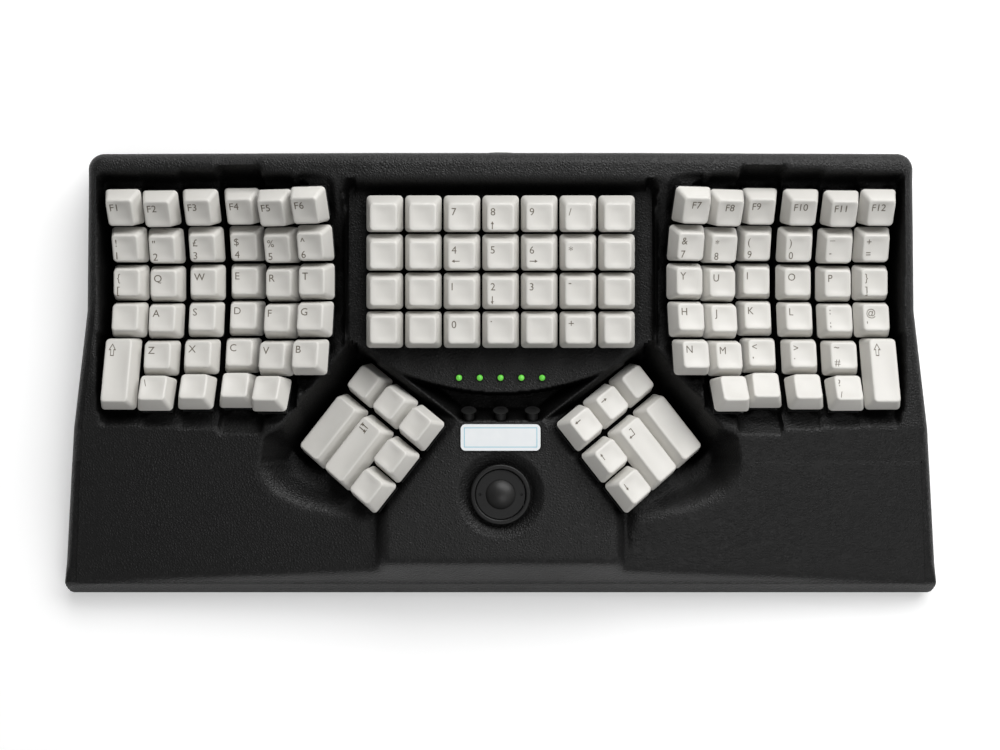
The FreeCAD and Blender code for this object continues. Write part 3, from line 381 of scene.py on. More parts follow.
class Paint:
    """A material with one Principled shader, built up by node calls."""

    def __init__(self, name, **constants):
        self.material = bpy.data.materials.new(name)
        self.material.use_nodes = True
        self.tree = self.material.node_tree
        self.shader = self.tree.nodes["Principled BSDF"]
        for socket, value in constants.items():
            self.shader.inputs[socket.replace("_", " ")].default_value = value

    def node(self, kind, settings=None, inputs=None, output=0):
        node = self.tree.nodes.new(kind)
        for name, value in (settings or {}).items():
            setattr(node, name, value)
        for key, value in (inputs or {}).items():
            if isinstance(value, Value):
                self.tree.links.new(value.socket, node.inputs[key])
            else:
                node.inputs[key].default_value = value
        return Value(self, node.outputs[output])

    def place(self, scale=(1, 1, 1), turn=(0, 0, 0)):
        """Object coordinates, turned and scaled."""
        where = self.node("ShaderNodeTexCoord", output="Object")
        return self.node("ShaderNodeMapping", None, {"Vector": where, "Scale": scale, "Rotation": turn})

    def noise(self, scale, detail=2.0, where=None):
        where = where or self.place()
        return self.node("ShaderNodeTexNoise", None, {"Vector": where, "Scale": scale, "Detail": detail})

    def mix(self, factor, first, second):
        return self.node(
            "ShaderNodeMix", {"data_type": "RGBA"}, {"Factor": factor, 6: first, 7: second}, output=2
        )

    def feed(self, socket, value):
        self.tree.links.new(value.socket, self.shader.inputs[socket])

    def shade(self, openness):
        """Mix in painted shade, a dull black, where other surfaces stand close around."""
        # Painted shade: a dull black shader mixed in by the occlusion share
        painted_shade = self.node(
            "ShaderNodeBsdfPrincipled",
            None,
            {
                "Base Color": grey(PAINTED_SHADE_BLACK),
                "Roughness": PAINTED_SHADE_ROUGHNESS,
                "Specular IOR Level": PAINTED_SHADE_SPECULAR,
            },
        )
        lit = Value(self, self.shader.outputs["BSDF"])
        mixed = self.node("ShaderNodeMixShader", None, {"Fac": openness, 1: painted_shade, 2: lit})
        self.tree.links.new(mixed.socket, self.tree.nodes["Material Output"].inputs["Surface"])

    def bump(self, height, strength, distance):
        sockets = {"Height": height, "Strength": strength, "Distance": distance}
        self.feed("Normal", self.node("ShaderNodeBump", None, sockets, output="Normal"))


def grey(level, warmth=0.0):
    """A linear grey with a touch of warmth."""
    return (level * (1 + warmth), level, level * (1 - warmth), 1.0)


# Finishes


def shell_finish():
    """Black plastic sheet with a fine pebbled leather grain, and painted shade in its hollows where other
    surfaces stand close.
    """
    paint = Paint("shell_leather_grain_plastic_and_painted_shade", Specular_IOR_Level=0.34)
    place = paint.place()
    pebbles = paint.node(
        "ShaderNodeTexVoronoi", {"feature": "DISTANCE_TO_EDGE"}, {"Vector": place, "Scale": LEATHER_PEBBLES}
    )
    creases = paint.noise(LEATHER_CREASES, 3.0, place)
    wear = paint.noise(WEAR_PATCHES, 4.0, place)
    paint.feed("Base Color", paint.mix(wear, grey(0.0034), grey(0.0058, 0.01)))
    paint.feed("Roughness", 0.40 + wear * 0.14)
    paint.bump(pebbles + creases * 0.4, 0.9, LEATHER_RELIEF)
    # Painted shade: ambient occlusion darkens the wells, bowls and pit with a dull black
    reach = {"Distance": PAINTED_SHADE_REACH}
    openness = paint.node("ShaderNodeAmbientOcclusion", {"samples": 8}, reach, output="AO")
    paint.shade(openness * openness)
    return paint.material


def cap_finish():
    """Warm light grey moulded plastic with a faint spark-eroded texture and finger polish."""
    paint = Paint("cap_warm_grey_plastic", IOR=1.5)
    place = paint.place()
    cloud = paint.noise(CAP_CLOUDS, 3.0, place)
    grain = paint.noise(CAP_GRAIN, 2.0, place)
    paint.feed("Base Color", paint.mix(cloud, *CAP_GREYS))
    paint.feed("Roughness", 0.36 + cloud * 0.16)
    paint.bump(grain, 0.25, CAP_RELIEF)
    return paint.material


def ink_finish():
    """Grey-brown sublimated ink, a little uneven."""
    paint = Paint("legend_grey_brown_ink")
    cloud = paint.noise(INK_CLOUDS, 2.0)
    paint.feed("Base Color", paint.mix(cloud, *INK_BROWNS))
    paint.feed("Roughness", 0.45 + cloud * 0.1)
    return paint.material


def moulded_finish(name, level, roughness=0.45):
    """Plain dark moulded plastic with a fine grain."""
    paint = Paint(name, Specular_IOR_Level=0.35)
    place = paint.place()
    cloud = paint.noise(MOULDED_CLOUDS, 3.0, place)
    grain = paint.noise(MOULDED_GRAIN, 2.0, place)
    paint.feed("Base Color", paint.mix(cloud, grey(level * 0.85), grey(level * 1.15)))
    paint.feed("Roughness", roughness + cloud * 0.1)
    paint.bump(grain, 0.3, MOULDED_RELIEF)
    return paint.material


def ball_finish():
    """Polished black ball with hazy finger marks."""
    paint = Paint("ball_polished_black", Specular_IOR_Level=0.35)
    place = paint.place()
    haze = paint.noise(BALL_HAZE, 4.0, place)
    paint.feed("Base Color", paint.mix(haze, grey(0.010), grey(0.022, 0.02)))
    paint.feed("Roughness", 0.36 + haze * 0.16)
    return paint.material


def rubber_finish():
    """Matt black rubber with a fine grain."""
    paint = Paint("foot_matt_rubber")
    grain = paint.noise(RUBBER_GRAIN, 3.0)
    paint.feed("Base Color", paint.mix(grain, grey(0.018), grey(0.030)))
    paint.feed("Roughness", 0.80 + grain * 0.12)
    paint.bump(grain, 0.4, RUBBER_RELIEF)
    return paint.material


def metal_finish(name, level, turn):
    """Turned or rolled steel with fine drawn lines."""
    paint = Paint(name, Metallic=1.0)
    lines = paint.noise(DRAWN_LINES, 2.0, paint.place(scale=(0.05, 1, 1), turn=turn))
    paint.feed("Base Color", paint.mix(lines, grey(level * 0.9), grey(level * 1.1)))
    paint.feed("Roughness", 0.24 + lines * 0.2)
    paint.bump(lines, 0.2, METAL_RELIEF)
    return paint.material


def light_finish():
    """Green indicator lens that glows unevenly."""
    paint = Paint("light_green_lens", Roughness=0.22, Emission_Strength=1.0)
    cloud = paint.noise(LENS_CLOUDS, 2.0)
    paint.feed("Base Color", paint.mix(cloud, *LENS_GREENS))
    paint.feed("Emission Color", paint.mix(cloud, *GLOW_GREENS))
    return paint.material


def board_finish():
    """Green solder resist with copper tracks that show faintly through it."""
    paint = Paint("board_solder_resist", Coat_Weight=0.4)
    sockets = {
        "Vector": paint.place(),
        "Scale": BOARD_TRACKS,
        "Mortar Size": 0.04,
        "Color1": grey(0.0),
        "Color2": grey(0.2),
    }
    tracks = paint.node("ShaderNodeTexBrick", {"offset": 0.5}, sockets, output="Fac")
    paint.feed("Base Color", paint.mix(tracks, *BOARD_GREENS))
    paint.feed("Roughness", 0.30 + tracks * 0.1)
    return paint.material


def badge_finish():
    """Bare white plate with a thin pale blue line inside its edge."""
    paint = Paint("badge_white_enamel", Coat_Weight=0.3)
    depth = badge_depth(paint)
    band = (depth > BADGE_BORDER) * (depth < BADGE_BORDER + BADGE_LINE)
    cloud = paint.noise(BADGE_CLOUDS, 2.0)
    white = paint.mix(cloud, *BADGE_WHITES)
    paint.feed("Base Color", paint.mix(band, white, BADGE_BLUE))
    paint.feed("Roughness", 0.30 + cloud * 0.08)
    return paint.material


def badge_depth(paint):
    """How far a point of the badge plate lies from the plate's nearest edge."""
    low, high = (Vector(corner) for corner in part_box("badge_plate"))
    half = (high - low) / 2
    where = paint.node("ShaderNodeTexCoord", output="Object")
    middle = tuple((low + high) / 2)
    moved = paint.node("ShaderNodeVectorMath", {"operation": "SUBTRACT"}, {0: where, 1: middle})
    folded = paint.node("ShaderNodeVectorMath", {"operation": "ABSOLUTE"}, {0: moved})
    depths = [
        half[axis] - paint.node("ShaderNodeSeparateXYZ", None, {0: folded}, output=axis) for axis in (0, 1)
    ]
    return depths[0].maths("MINIMUM", depths[1])


# Shell


def shell_tree():
    """The frame's shell, to be felt with rays."""
    graph = bpy.context.evaluated_depsgraph_get()
    return BVHTree.FromObject(frame["nodes"]["top_shell"], graph)


def wall_point(tree, point, outward, height):
    """Where the outer wall stands beside a point of the plan, at a height or just below it."""
    hit = None
    while hit is None:
        start = Vector((point[0], point[1], height)) + outward * RAY_START
        hit = tree.ray_cast(start, -outward, RAY_LENGTH)[0]
        height -= RAY_STEP
    return hit


def plan_grid(tree):
    """A flat grid over the shell's plan, finer where its edges are crisp."""
    low, high = (Vector(corner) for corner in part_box("top_shell"))
    front = low.y + FRONT_FACE_RUN
    back = high.y - BACK_FACE_RUN
    columns = round((high.x - low.x) / DRAPE_STEP)
    rows = round((back - front) / DRAPE_STEP)
    deselect()
    bpy.ops.mesh.primitive_grid_add(x_subdivisions=columns, y_subdivisions=rows, size=2.0)
    sheet = bpy.context.object
    sheet.name = "formed_shell"
    half_widths = {}
    for vertex in sheet.data.vertices:
        y = front + (vertex.co.y + 1) / 2 * (back - front)
        row = round(y, 6)
        if row not in half_widths:
            side = wall_point(tree, (low.x, y), Vector((-1, 0, 0)), low.z + RAY_HEIGHT)
            half_widths[row] = abs(side.x) - RIM_INSET
        vertex.co = (vertex.co.x * half_widths[row], y, 0)
    select_faces(sheet, lambda centre, normal: is_crisp(centre))
    bpy.ops.mesh.subdivide(number_cuts=CRISP_CUTS)
    bpy.ops.object.mode_set(mode="OBJECT")
    return sheet


def drop_sheet(sheet, tree):
    """Drop the sheet on the shell; returns the points that fell through its openings."""
    down = Vector((0, 0, -1))
    missed = []
    for vertex in sheet.data.vertices:
        hit = tree.ray_cast(Vector((vertex.co.x, vertex.co.y, DRAPE_TOP)), down)[0]
        if hit is None:
            missed.append(vertex.index)
        vertex.co.z = hit.z if hit else 0
    return missed


def edge_ends(mesh):
    """The two ends of each edge of a mesh, as pairs of point numbers."""
    ends = [0] * (2 * len(mesh.edges))
    mesh.edges.foreach_get("vertices", ends)
    return list(zip(ends[::2], ends[1::2]))


def linked_points(mesh):
    """The neighbours of each point along the edges of a mesh."""
    neighbours = [[] for _ in mesh.vertices]
    for first, second in edge_ends(mesh):
        neighbours[first].append(second)
        neighbours[second].append(first)
    return neighbours


def crossing_height(point, known):
    """Height of the sheet over an opening beside known heights: their lowest under the keys."""
    return min(known) if in_well(point) else sum(known) / len(known)


def mend_misses(sheet, missed):
    """Carry the sheet across the openings of the shell, from their edges inwards."""
    mesh = sheet.data
    neighbours = linked_points(mesh)
    heights = [v.co.z for v in mesh.vertices]
    waiting = set(missed).union(*(neighbours[index] for index in missed))
    while waiting:
        filled = {}
        for index in waiting:
            known = [heights[n] for n in neighbours[index] if n not in waiting]
            if known:
                filled[index] = crossing_height(mesh.vertices[index].co, known)
        for index, height in filled.items():
            heights[index] = height
        waiting -= set(filled)
    for vertex, height in zip(mesh.vertices, heights):
        vertex.co.z = height


def soften(sheet, repeat, chosen):
    """Smooth the heights of the sheet's points that pass a test of their place."""
    select_points(sheet, chosen)
    bpy.ops.mesh.vertices_smooth(factor=0.5, repeat=repeat, xaxis=False, yaxis=False, zaxis=True)
    bpy.ops.object.mode_set(mode="OBJECT")


def anywhere(point):
    return True


def is_crisp(point):
    """The crescent trench and the trackball's pit keep crisp edges."""
    in_trench = abs(point.x) < TRENCH_HALF_WIDTH and TRENCH_FRONT < point.y < TRENCH_BACK
    return in_trench or (point.xy - BALL_CENTRE.xy).length < PIT_RADIUS


def in_thumb_bowl(point):
    return BOWL_INNER < abs(point.x) < BOWL_OUTER and BOWL_FRONT < point.y < BOWL_BACK


def in_well(point):
    return abs(point.x) > WELL_INNER and point.y > WELL_FRONT


def by_inner_wall(point):
    return in_well(point) and abs(point.x) < INNER_WALL_REACH


def widened(sheet, heights, chosen):
    """Heights with the chosen hollows' walls moved out by one step, clear of the pressed keys."""
    lowered = list(heights)
    for vertex, neighbours in zip(sheet.data.vertices, linked_points(sheet.data)):
        if chosen(vertex.co):
            lowered[vertex.index] = min([heights[vertex.index]] + [heights[n] for n in neighbours])
    return lowered


def keep_below(sheet, heights, chosen):
    """Press the chosen points of the sheet down to their heights where they stand above them."""
    for vertex, height in zip(sheet.data.vertices, heights):
        if chosen(vertex.co):
            vertex.co.z = min(vertex.co.z, height)


def relax_sheet(sheet):
    """Round the raised edges, as a hot sheet does over its mould, and keep the hollows' depth."""
    before = [v.co.z for v in sheet.data.vertices]
    limit = widened(sheet, before, in_well)
    limit = widened(sheet, limit, by_inner_wall)
    soften(sheet, EDGE_SOFTNESS, lambda point: not is_crisp(point))
    keep_below(sheet, before, anywhere)
    soften(sheet, BOWL_SOFTNESS, in_thumb_bowl)
    soften(sheet, SHEET_SOFTNESS, anywhere)
    keep_below(sheet, limit, in_well)


def cut_ball_hole(sheet):
    """Take the sheet away inside the trackball's bezel."""
    select_points(sheet, lambda point: (point.xy - BALL_CENTRE.xy).length < BALL_HOLE_RADIUS)
    bpy.ops.mesh.delete(type="VERT")
    bpy.ops.object.mode_set(mode="OBJECT")


def rim_levels():
    """Steps from the sheet's border to the base: drop in rim radii, then in wall heights, and inset."""
    steps = []
    for turn in range(1, RIM_TURNS + 1):
        angle = math.pi / 2 * turn / RIM_TURNS
        steps.append((1 - math.cos(angle), 1 - math.sin(angle)))
    for row in range(1, WALL_ROWS + 1):
        steps.append((1 + row / WALL_ROWS, 0.0))
    return steps


def border_directions(points):
    """Outward direction at each border point: straight out, and turning round the four corners."""
    front = min(p.y for p in points.values())
    back = max(p.y for p in points.values())
    reach = {}
    for point in points.values():
        row = round(point.y, 6)
        reach[row] = max(reach.get(row, 0.0), abs(point.x))
    directions = {}
    for index, point in points.items():
        side = Vector((math.copysign(1, point.x), 0, 0))
        to_end = min(back - point.y, point.y - front)
        end = Vector((0, 1 if back - point.y == to_end else -1, 0))
        to_side = reach[round(point.y, 6)] - abs(point.x)
        share = 0.5 + (to_end - to_side) / CORNER_REACH / 2
        angle = min(1.0, max(0.0, share)) * math.pi / 2
        directions[index] = side * math.sin(angle) + end * math.cos(angle)
    return directions


def rim_radius(direction, height):
    """The rim is rounder at the sides and back than at the front."""
    share = max(0.0, -direction.y)
    return min(RIM_RADIUS + (FRONT_RIM_RADIUS - RIM_RADIUS) * share, height / 2)


def skirt_point(tree, start, direction, floor, level):
    """Where a border point comes to lie at one level of the rim and the outer wall."""
    drop, inset = level
    top = start.z - floor
    radius = rim_radius(direction, top)
    above_floor = top - radius * drop if drop <= 1 else (top - radius) * (2 - drop)
    height = above_floor + floor
    wall = wall_point(tree, start, direction, max(height, floor + RAY_LOWEST))
    spot = wall - direction * radius * inset
    return Vector((spot.x, spot.y, height))


def select_border(sheet):
    """In edit mode, select the sheet's open border."""
    activate(sheet)
    bpy.context.tool_settings.mesh_select_mode = (True, False, False)
    bpy.ops.object.mode_set(mode="EDIT")
    bpy.ops.mesh.select_all(action="DESELECT")
    bpy.ops.mesh.select_non_manifold(
        use_wire=False, use_boundary=True, use_multi_face=False, use_non_contiguous=False, use_verts=False
    )


def selected_points(sheet):
    """Back in object mode, the sheet's selected points by index."""
    bpy.ops.object.mode_set(mode="OBJECT")
    return {v.index: v for v in sheet.data.vertices if v.select}


def extrude_border(sheet, source):
    """Extrude the selected border; returns the first border point that each new point comes from."""
    bpy.context.tool_settings.mesh_select_mode = (False, True, False)
    bpy.ops.object.mode_set(mode="EDIT")
    bpy.ops.mesh.extrude_edges_indiv()
    fresh = selected_points(sheet)
    pairs = edge_ends(sheet.data)
    links = pairs + [(second, first) for first, second in pairs]
    return {index: source[other] for index, other in links if index in fresh and other in source}


def build_skirt(sheet, tree):
    """Turn the sheet's border over a round rim and down the outer wall to the base."""
    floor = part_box("top_shell")[0][2]
    select_border(sheet)
    start = {index: vertex.co.copy() for index, vertex in selected_points(sheet).items()}
    directions = border_directions(start)
    source = {index: index for index in start}
    for level in rim_levels():
        source = extrude_border(sheet, source)
        for index, origin in source.items():
            spot = skirt_point(tree, start[origin], directions[origin], floor, level)
            sheet.data.vertices[index].co = spot
    bpy.ops.object.mode_set(mode="EDIT")
    bpy.ops.mesh.select_all(action="SELECT")
    bpy.ops.mesh.normals_make_consistent(inside=False)
    bpy.ops.object.mode_set(mode="OBJECT")


def shell_piece(finish):
    """The one-piece formed shell."""
    tree = shell_tree()
    sheet = plan_grid(tree)
    mend_misses(sheet, drop_sheet(sheet, tree))
    relax_sheet(sheet)
    build_skirt(sheet, tree)
    cut_ball_hole(sheet)
    smooth_by_angle(sheet, SHELL_SMOOTH_ANGLE)
    finish_piece(sheet, "case", finish, "shell_black", "top_shell")


# Key caps


def solids(node):
    """Corner points of each separate solid of a node, read from a merged copy that is taken apart."""
    activate(copy_piece(frame["nodes"][node], node + "_copy", Matrix()))
    bpy.ops.object.mode_set(mode="EDIT")
    bpy.ops.mesh.select_all(action="SELECT")
    bpy.ops.mesh.remove_doubles(threshold=MERGE_DISTANCE)
    bpy.ops.mesh.separate(type="LOOSE")
    bpy.ops.object.mode_set(mode="OBJECT")
    parts = list(bpy.context.selected_objects)
    groups = [[v.co.copy() for v in part.data.vertices] for part in parts]
    for part in parts:
        bpy.data.meshes.remove(part.data)
    return groups


def cap_frame(points, up):
    """Place, size and top height of the cap with these points, or nothing for a slider."""
    heights = [p.dot(up) for p in points]
    foot = min(heights)
    base = [p for p, height in zip(points, heights) if height < foot + FOOT_SLACK]
    centre = sum(base, Vector()) / len(base)
    far = max((p - centre).length for p in base)
    if far < SMALLEST_CAP_REACH:
        return None
    corners = [p for p in base if (p - centre).length > far - CORNER_SLACK]
    sides = sorted((p - corners[0] for p in corners[1:]), key=lambda side: side.length)[:2]
    along = max(sides, key=lambda side: abs(side.normalized().y))
    across = min(sides, key=lambda side: abs(side.normalized().y))
    forward = along.normalized() * math.copysign(1, along.y)
    turn = Matrix((forward.cross(up), forward, up)).transposed().to_4x4()
    return Matrix.Translation(centre) @ turn, (across.length, along.length, max(heights) - foot)


def cap_frames(node, travel):
    """Place and size of each cap of a node, from left to right, or from the back for inner thumb keys."""
    up = -Vector(travel).normalized()
    found = [cap for cap in (cap_frame(points, up) for points in solids(node)) if cap]
    if node.endswith("thumb_inner"):
        return sorted(found, key=lambda cap: -cap[0].translation.y)
    return sorted(found, key=lambda cap: cap[0].translation.x)


def dish_half_sizes(width, depth):
    """Half the width and depth of the hollow in a cap's top."""
    inset = CAP_EDGE + CAP_RIM
    return CAP_TOP_WIDTH / 2 - inset, (CAP_TOP_DEPTH + depth - width) / 2 - inset


def dish_depth(x, y, half_sizes):
    """How far the hollow of a cap's top lies below its rim, at a point counted from the top's middle."""
    across = min(1.0, abs(x) / half_sizes[0])
    along = min(1.0, abs(y) / half_sizes[1])
    return CAP_DISH * (1 - across ** 2) * (1 - along ** 3)


def make_cap(name, size, shift):
    """A moulded cap with leaning sides, round corners, a dished top and a hollow underside."""
    width, depth, height = size
    top_depth = CAP_TOP_DEPTH + depth - width
    deselect()
    bpy.ops.mesh.primitive_cube_add(size=1.0)
    cap = bpy.context.object
    cap.name = name
    cap.data.transform(Matrix.Translation((0, 0, height / 2)) @ Matrix.Diagonal((*size, 1)))
    select_faces(cap, lambda centre, normal: normal.z > FACING)
    bpy.ops.transform.resize(value=(CAP_TOP_WIDTH / width, top_depth / depth, 1))
    bpy.ops.transform.translate(value=(0, shift, 0))
    select_edges(cap, lambda a, b: abs(a.z - b.z) > height / 2)
    bpy.ops.mesh.bevel(offset=CAP_CORNER, segments=CAP_CORNER_STEPS, affect="EDGES")
    select_edges(cap, lambda a, b: min(a.z, b.z) > height - TOP_SLACK)
    bpy.ops.mesh.bevel(offset=CAP_EDGE, segments=CAP_EDGE_STEPS, affect="EDGES")
    hollow_underside(cap)
    dish_top(cap, height, shift, dish_half_sizes(width, depth))
    smooth_by_angle(cap, CAP_SMOOTH_ANGLE)
    return cap


def hollow_underside(cap):
    """Inset the underside by the wall and push it up inside the cap, narrowing as the cap does."""
    select_faces(cap, lambda centre, normal: normal.z < -FACING)
    bpy.ops.mesh.inset(thickness=CAP_WALL)
    bpy.ops.transform.translate(value=(0, 0, CAP_HOLLOW))
    bpy.ops.transform.resize(value=(CAP_CEILING_SHARE, CAP_CEILING_SHARE, 1))
    bpy.ops.object.mode_set(mode="OBJECT")


def dish_top(cap, height, shift, half_sizes):
    """Inset the top by a narrow rim, cut the rest crosswise and sink it to a crisp-edged dish."""
    def on_top(centre, normal):
        inside = abs(centre.x) < half_sizes[0] and abs(centre.y - shift) < half_sizes[1]
        return normal.z > FLAT_UP and centre.z > height - TOP_SLACK and inside

    select_faces(cap, on_top)
    bpy.ops.mesh.inset(thickness=CAP_RIM)
    for normal, half in (((1, 0, 0), half_sizes[0]), ((0, 1, 0), half_sizes[1])):
        for step in range(1, CAP_CUTS):
            place = (2 * step / CAP_CUTS - 1) * half
            select_faces(cap, on_top)
            bpy.ops.mesh.bisect(plane_co=(place, place + shift, 0), plane_no=normal)
    bpy.ops.object.mode_set(mode="OBJECT")
    for vertex in cap.data.vertices:
        if vertex.co.z > height - TOP_SLACK:
            vertex.co.z -= dish_depth(vertex.co.x, vertex.co.y - shift, half_sizes)


def make_legend(name, lines, left, size, shift):
    """The printed legend of a cap, flat glyphs that follow its dish."""
    width, depth, height = size
    labels = []
    for glyphs, low in zip(lines, (LEGEND_HIGH, LEGEND_LOW)):
        if glyphs:
            label = print_sign(name, SIGNS[glyphs]) if glyphs in SIGNS else print_line(name, glyphs)
            labels.append(put_line(label, left, low + (depth - width) / 2 + shift))
    for label in labels:
        label.select_set(True)
    bpy.context.view_layer.objects.active = labels[0]
    if len(labels) > 1:
        bpy.ops.object.join()
    label = bpy.context.object
    half_sizes = dish_half_sizes(width, depth)
    for vertex in label.data.vertices:
        vertex.co.z = height - dish_depth(vertex.co.x, vertex.co.y - shift, half_sizes) + LEGEND_LIFT
    return label


def print_line(name, glyphs):
    """One line of a legend's letters as a flat mesh."""
    deselect()
    bpy.ops.object.text_add()
    label = bpy.context.object
    label.name = name
    label.data.body = glyphs
    label.data.size = LEGEND_SIZE
    label.data.resolution_u = LEGEND_CURVE_STEPS
    bpy.ops.object.convert(target="MESH")
    across, along = LEGEND_SCALES.get(glyphs, (1.0, 1.0))
    label.data.transform(Matrix.Diagonal((across, along, 1, 1)))
    return label


def print_sign(name, sign):
    """An arrow sign as a flat mesh of straight strokes and three-cornered heads."""
    strokes, heads = sign
    unit = LEGEND_SIZE * SIGN_LETTER_SHARE
    parts = []
    deselect()
    for left, low, right, high in strokes:
        bpy.ops.mesh.primitive_plane_add(size=1.0)
        middle = Vector(((left + right) / 2, (low + high) / 2, 0)) * unit
        length = abs(right - left) + SIGN_STROKE
        reach = abs(high - low) + SIGN_STROKE
        bpy.context.object.data.transform(
            Matrix.Translation(middle) @ Matrix.Diagonal((length * unit, reach * unit, 1, 1))
        )
        parts.append(bpy.context.object)
    for x, y, angle in heads:
        bpy.ops.mesh.primitive_circle_add(vertices=3, radius=SIGN_HEAD * unit, fill_type="NGON")
        turn = Matrix.Rotation(math.radians(angle), 4, "Z")
        bpy.context.object.data.transform(Matrix.Translation(Vector((x, y, 0)) * unit) @ turn)
        parts.append(bpy.context.object)
    for part in parts:
        part.select_set(True)
    bpy.ops.object.join()
    label = bpy.context.object
    label.name = name
    return label


def put_line(label, left, top):
    """Set a line of a legend with its upper left corner at a point of the cap."""
    points = [v.co for v in label.data.vertices]
    corner = (min(p.x for p in points), max(p.y for p in points))
    label.data.transform(Matrix.Translation((left - corner[0], top - corner[1], 0)))
    deselect()
    return label


def print_on(cap, label, ink):
    """Join an inked legend to its cap."""
    label.data.materials.clear()
    label.data.materials.append(ink)
    activate(cap)
    label.select_set(True)
    bpy.ops.object.join()


def cap_pieces(plastic, ink):
    """A cap with its legend for every key."""
    masters = {}
    for joint in frame["joints"]:
        node = joint["child"]
        if not node.startswith("key"):
            continue
        shift = ROW_TOP_SHIFTS.get(node, CAP_TOP_SHIFT)
        left = LEGEND_LEFT + LEGEND_SHIFTS.get(node, 0)
        caps = cap_frames(node, joint["axis"])
        legends = LEGENDS.get(node, ("",) * len(caps))
        for number, ((place, size), legend) in enumerate(zip(caps, legends), start=1):
            kind = (shift, size[1] > size[0] * TALL_CAP_RATIO)
            if kind not in masters:
                masters[kind] = make_cap("cap_master", size, shift)
                masters[kind].data.materials.append(plastic)
            cap = copy_piece(masters[kind], "%s_cap_%d" % (node, number), Matrix())
            if legend:
                print_on(cap, make_legend(cap.name, legend.split("|"), left, size, shift), ink)
            cap.data.transform(place)
            finish_piece(cap, node, None, "cap_grey", node)
    for master in masters.values():
        bpy.data.objects.remove(master)


# Trackball and buttons


def ball_piece(finish):
    """The trackball."""
    deselect()
    radius = (BALL_HIGH.z - BALL_LOW.z) / 2
    bpy.ops.mesh.primitive_ico_sphere_add(subdivisions=BALL_DIVISIONS, radius=radius)
    ball = bpy.context.object
    ball.name = "trackball_sphere"
    ball.data.transform(Matrix.Translation(BALL_CENTRE))
    smooth_by_angle(ball, BALL_SMOOTH_ANGLE)
    finish_piece(ball, "trackball", finish, "ball_black", "trackball")


def button_frame(node, up):
    """Foot, radius and length of a push button of the frame."""
    points = [v.co for v in frame["nodes"][node].data.vertices]
    heights = [p.dot(up) for p in points]
    middle = sum(points, Vector()) / len(points)
    foot = middle + up * (min(heights) - middle.dot(up))
    radius = max((p - middle - up * (p - middle).dot(up)).length for p in points)
    return foot, radius, max(heights) - min(heights)


def make_button(name, radius, length):
    """A short round button with a softened edge and a slightly hollow end."""
    deselect()
    bpy.ops.mesh.primitive_cylinder_add(vertices=BUTTON_SIDES, radius=radius, depth=length)
    button = bpy.context.object
    button.name = name
    button.data.transform(Matrix.Translation((0, 0, length / 2)))
    select_faces(button, lambda centre, normal: normal.z > FACING)
    bpy.ops.mesh.bevel(offset=radius * BUTTON_EDGE, segments=BUTTON_EDGE_STEPS, affect="EDGES")
    select_faces(button, lambda centre, normal: normal.z > FACING)
    bpy.ops.mesh.inset(thickness=radius * BUTTON_RIM)
    bpy.ops.mesh.inset(thickness=radius * BUTTON_HOLLOW_EDGE, depth=-radius * BUTTON_HOLLOW_DEPTH)
    bpy.ops.object.mode_set(mode="OBJECT")
    return button


def button_pieces(finish):
    """The three push buttons in the deck's back slope."""
    for joint in frame["joints"]:
        node = joint["child"]
        if not node.startswith("push_button"):
            continue
        up = -Vector(joint["axis"]).normalized()
        foot, radius, length = button_frame(node, up)
        button = make_button(node + "_plunger", radius, length)
        button.data.transform(Matrix.Translation(foot) @ up.to_track_quat("Z", "Y").to_matrix().to_4x4())
        smooth_by_angle(button, BUTTON_SMOOTH_ANGLE)
        finish_piece(button, node, finish, "button_black", node)


# Stage, light and camera


def paint_nodes():
    """Finishes for the frame's own nodes that stay in view."""
    housings = ["switch_housings_%s" % place for place in ("left", "centre", "right")]
    rings = ["trackball_cup", "trackball_bezel", "retaining_ring"]
    finishes = (
        (moulded_finish("switch_dark_plastic", 0.014), housings + ["button_switches"]),
        (moulded_finish("ring_satin_black", 0.006, 0.40), rings),
        (moulded_finish("base_satin_black", 0.016), ["base_plate", "screw_blocks", "board_pillars"]),
        (rubber_finish(), ["rubber_feet", "cable_grommet"]),
        (metal_finish("screw_zinc_steel", 0.5, (0, 0, 0)), ["base_screws"]),
        (metal_finish("roller_ground_steel", 0.55, (0, 0, math.pi / 2)), ["roller_front", "roller_side"]),
        (board_finish(), ["indicator_board", "controller_board"]),
        (light_finish(), ["indicator_lights"]),
        (badge_finish(), ["badge_plate"]),
    )
    for finish, nodes in finishes:
        for node in nodes:
            mesh = frame["nodes"][node].data
            mesh.materials.clear()
            mesh.materials.append(finish)


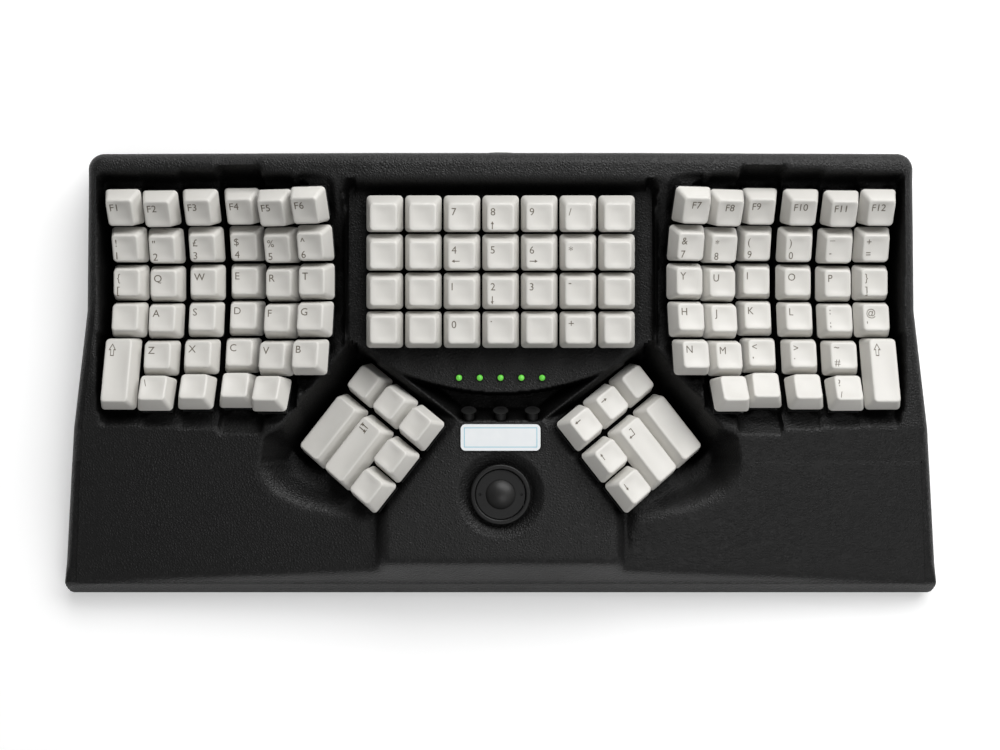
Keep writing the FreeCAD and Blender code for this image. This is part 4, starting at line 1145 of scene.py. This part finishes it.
def make_stage():
    """A pale floor that takes the soft shadow and looks white to the camera and in reflections."""
    deselect()
    bpy.ops.mesh.primitive_plane_add(size=FLOOR_SIZE)
    floor = bpy.context.object
    floor.name = "floor"
    floor.data.transform(Matrix.Translation((0, 0, -FLOOR_DROP)))
    paint = Paint("floor_white_paper", Roughness=0.9, Emission_Strength=1.0)
    cloud = paint.noise(PAPER_CLOUDS, 2.0)
    paint.feed("Base Color", paint.mix(cloud, grey(0.86), grey(0.88)))
    paint.feed("Emission Color", paint.mix(seen_directly(paint), grey(0.0), grey(FLOOR_GLOW)))
    floor.data.materials.append(paint.material)


def seen_directly(paint):
    """1 for camera, glossy and transmission rays."""
    share = paint.node("ShaderNodeLightPath", output="Is Camera Ray")
    for output in ("Is Glossy Ray", "Is Transmission Ray"):
        share = share.maths("MAXIMUM", paint.node("ShaderNodeLightPath", output=output))
    return share


def make_light():
    """The white surround and the soft boxes."""
    world = bpy.data.worlds.new("white_surround")
    bpy.context.scene.world = world
    world.use_nodes = True
    background = world.node_tree.nodes["Background"]
    background.inputs["Color"].default_value = grey(1.0)
    background.inputs["Strength"].default_value = WORLD_LEVEL
    for name, place, width, height, power in LAMPS:
        lamp = bpy.data.lights.new(name, "AREA")
        lamp.shape = "RECTANGLE"
        lamp.size = width
        lamp.size_y = height
        lamp.energy = power
        holder = bpy.data.objects.new(name, lamp)
        bpy.context.scene.collection.objects.link(holder)
        holder.location = place
        holder.rotation_euler = Vector(place).to_track_quat("Z", "Y").to_euler()


def make_camera():
    """The camera straight above the keyboard."""
    camera = bpy.data.cameras.new("overhead")
    camera.lens = FOCAL_LENGTH
    camera.sensor_width = SENSOR_WIDTH
    holder = bpy.data.objects.new("overhead", camera)
    bpy.context.scene.collection.objects.link(holder)
    holder.location = (CAMERA_X, CAMERA_Y, CAMERA_HEIGHT)
    bpy.context.scene.camera = holder
    bpy.context.scene.view_settings.view_transform = "Standard"


cap_pieces(cap_finish(), ink_finish())
shell_piece(shell_finish())
ball_piece(ball_finish())
button_pieces(moulded_finish("button_satin_black", 0.006))
paint_nodes()
make_stage()
make_light()
make_camera()
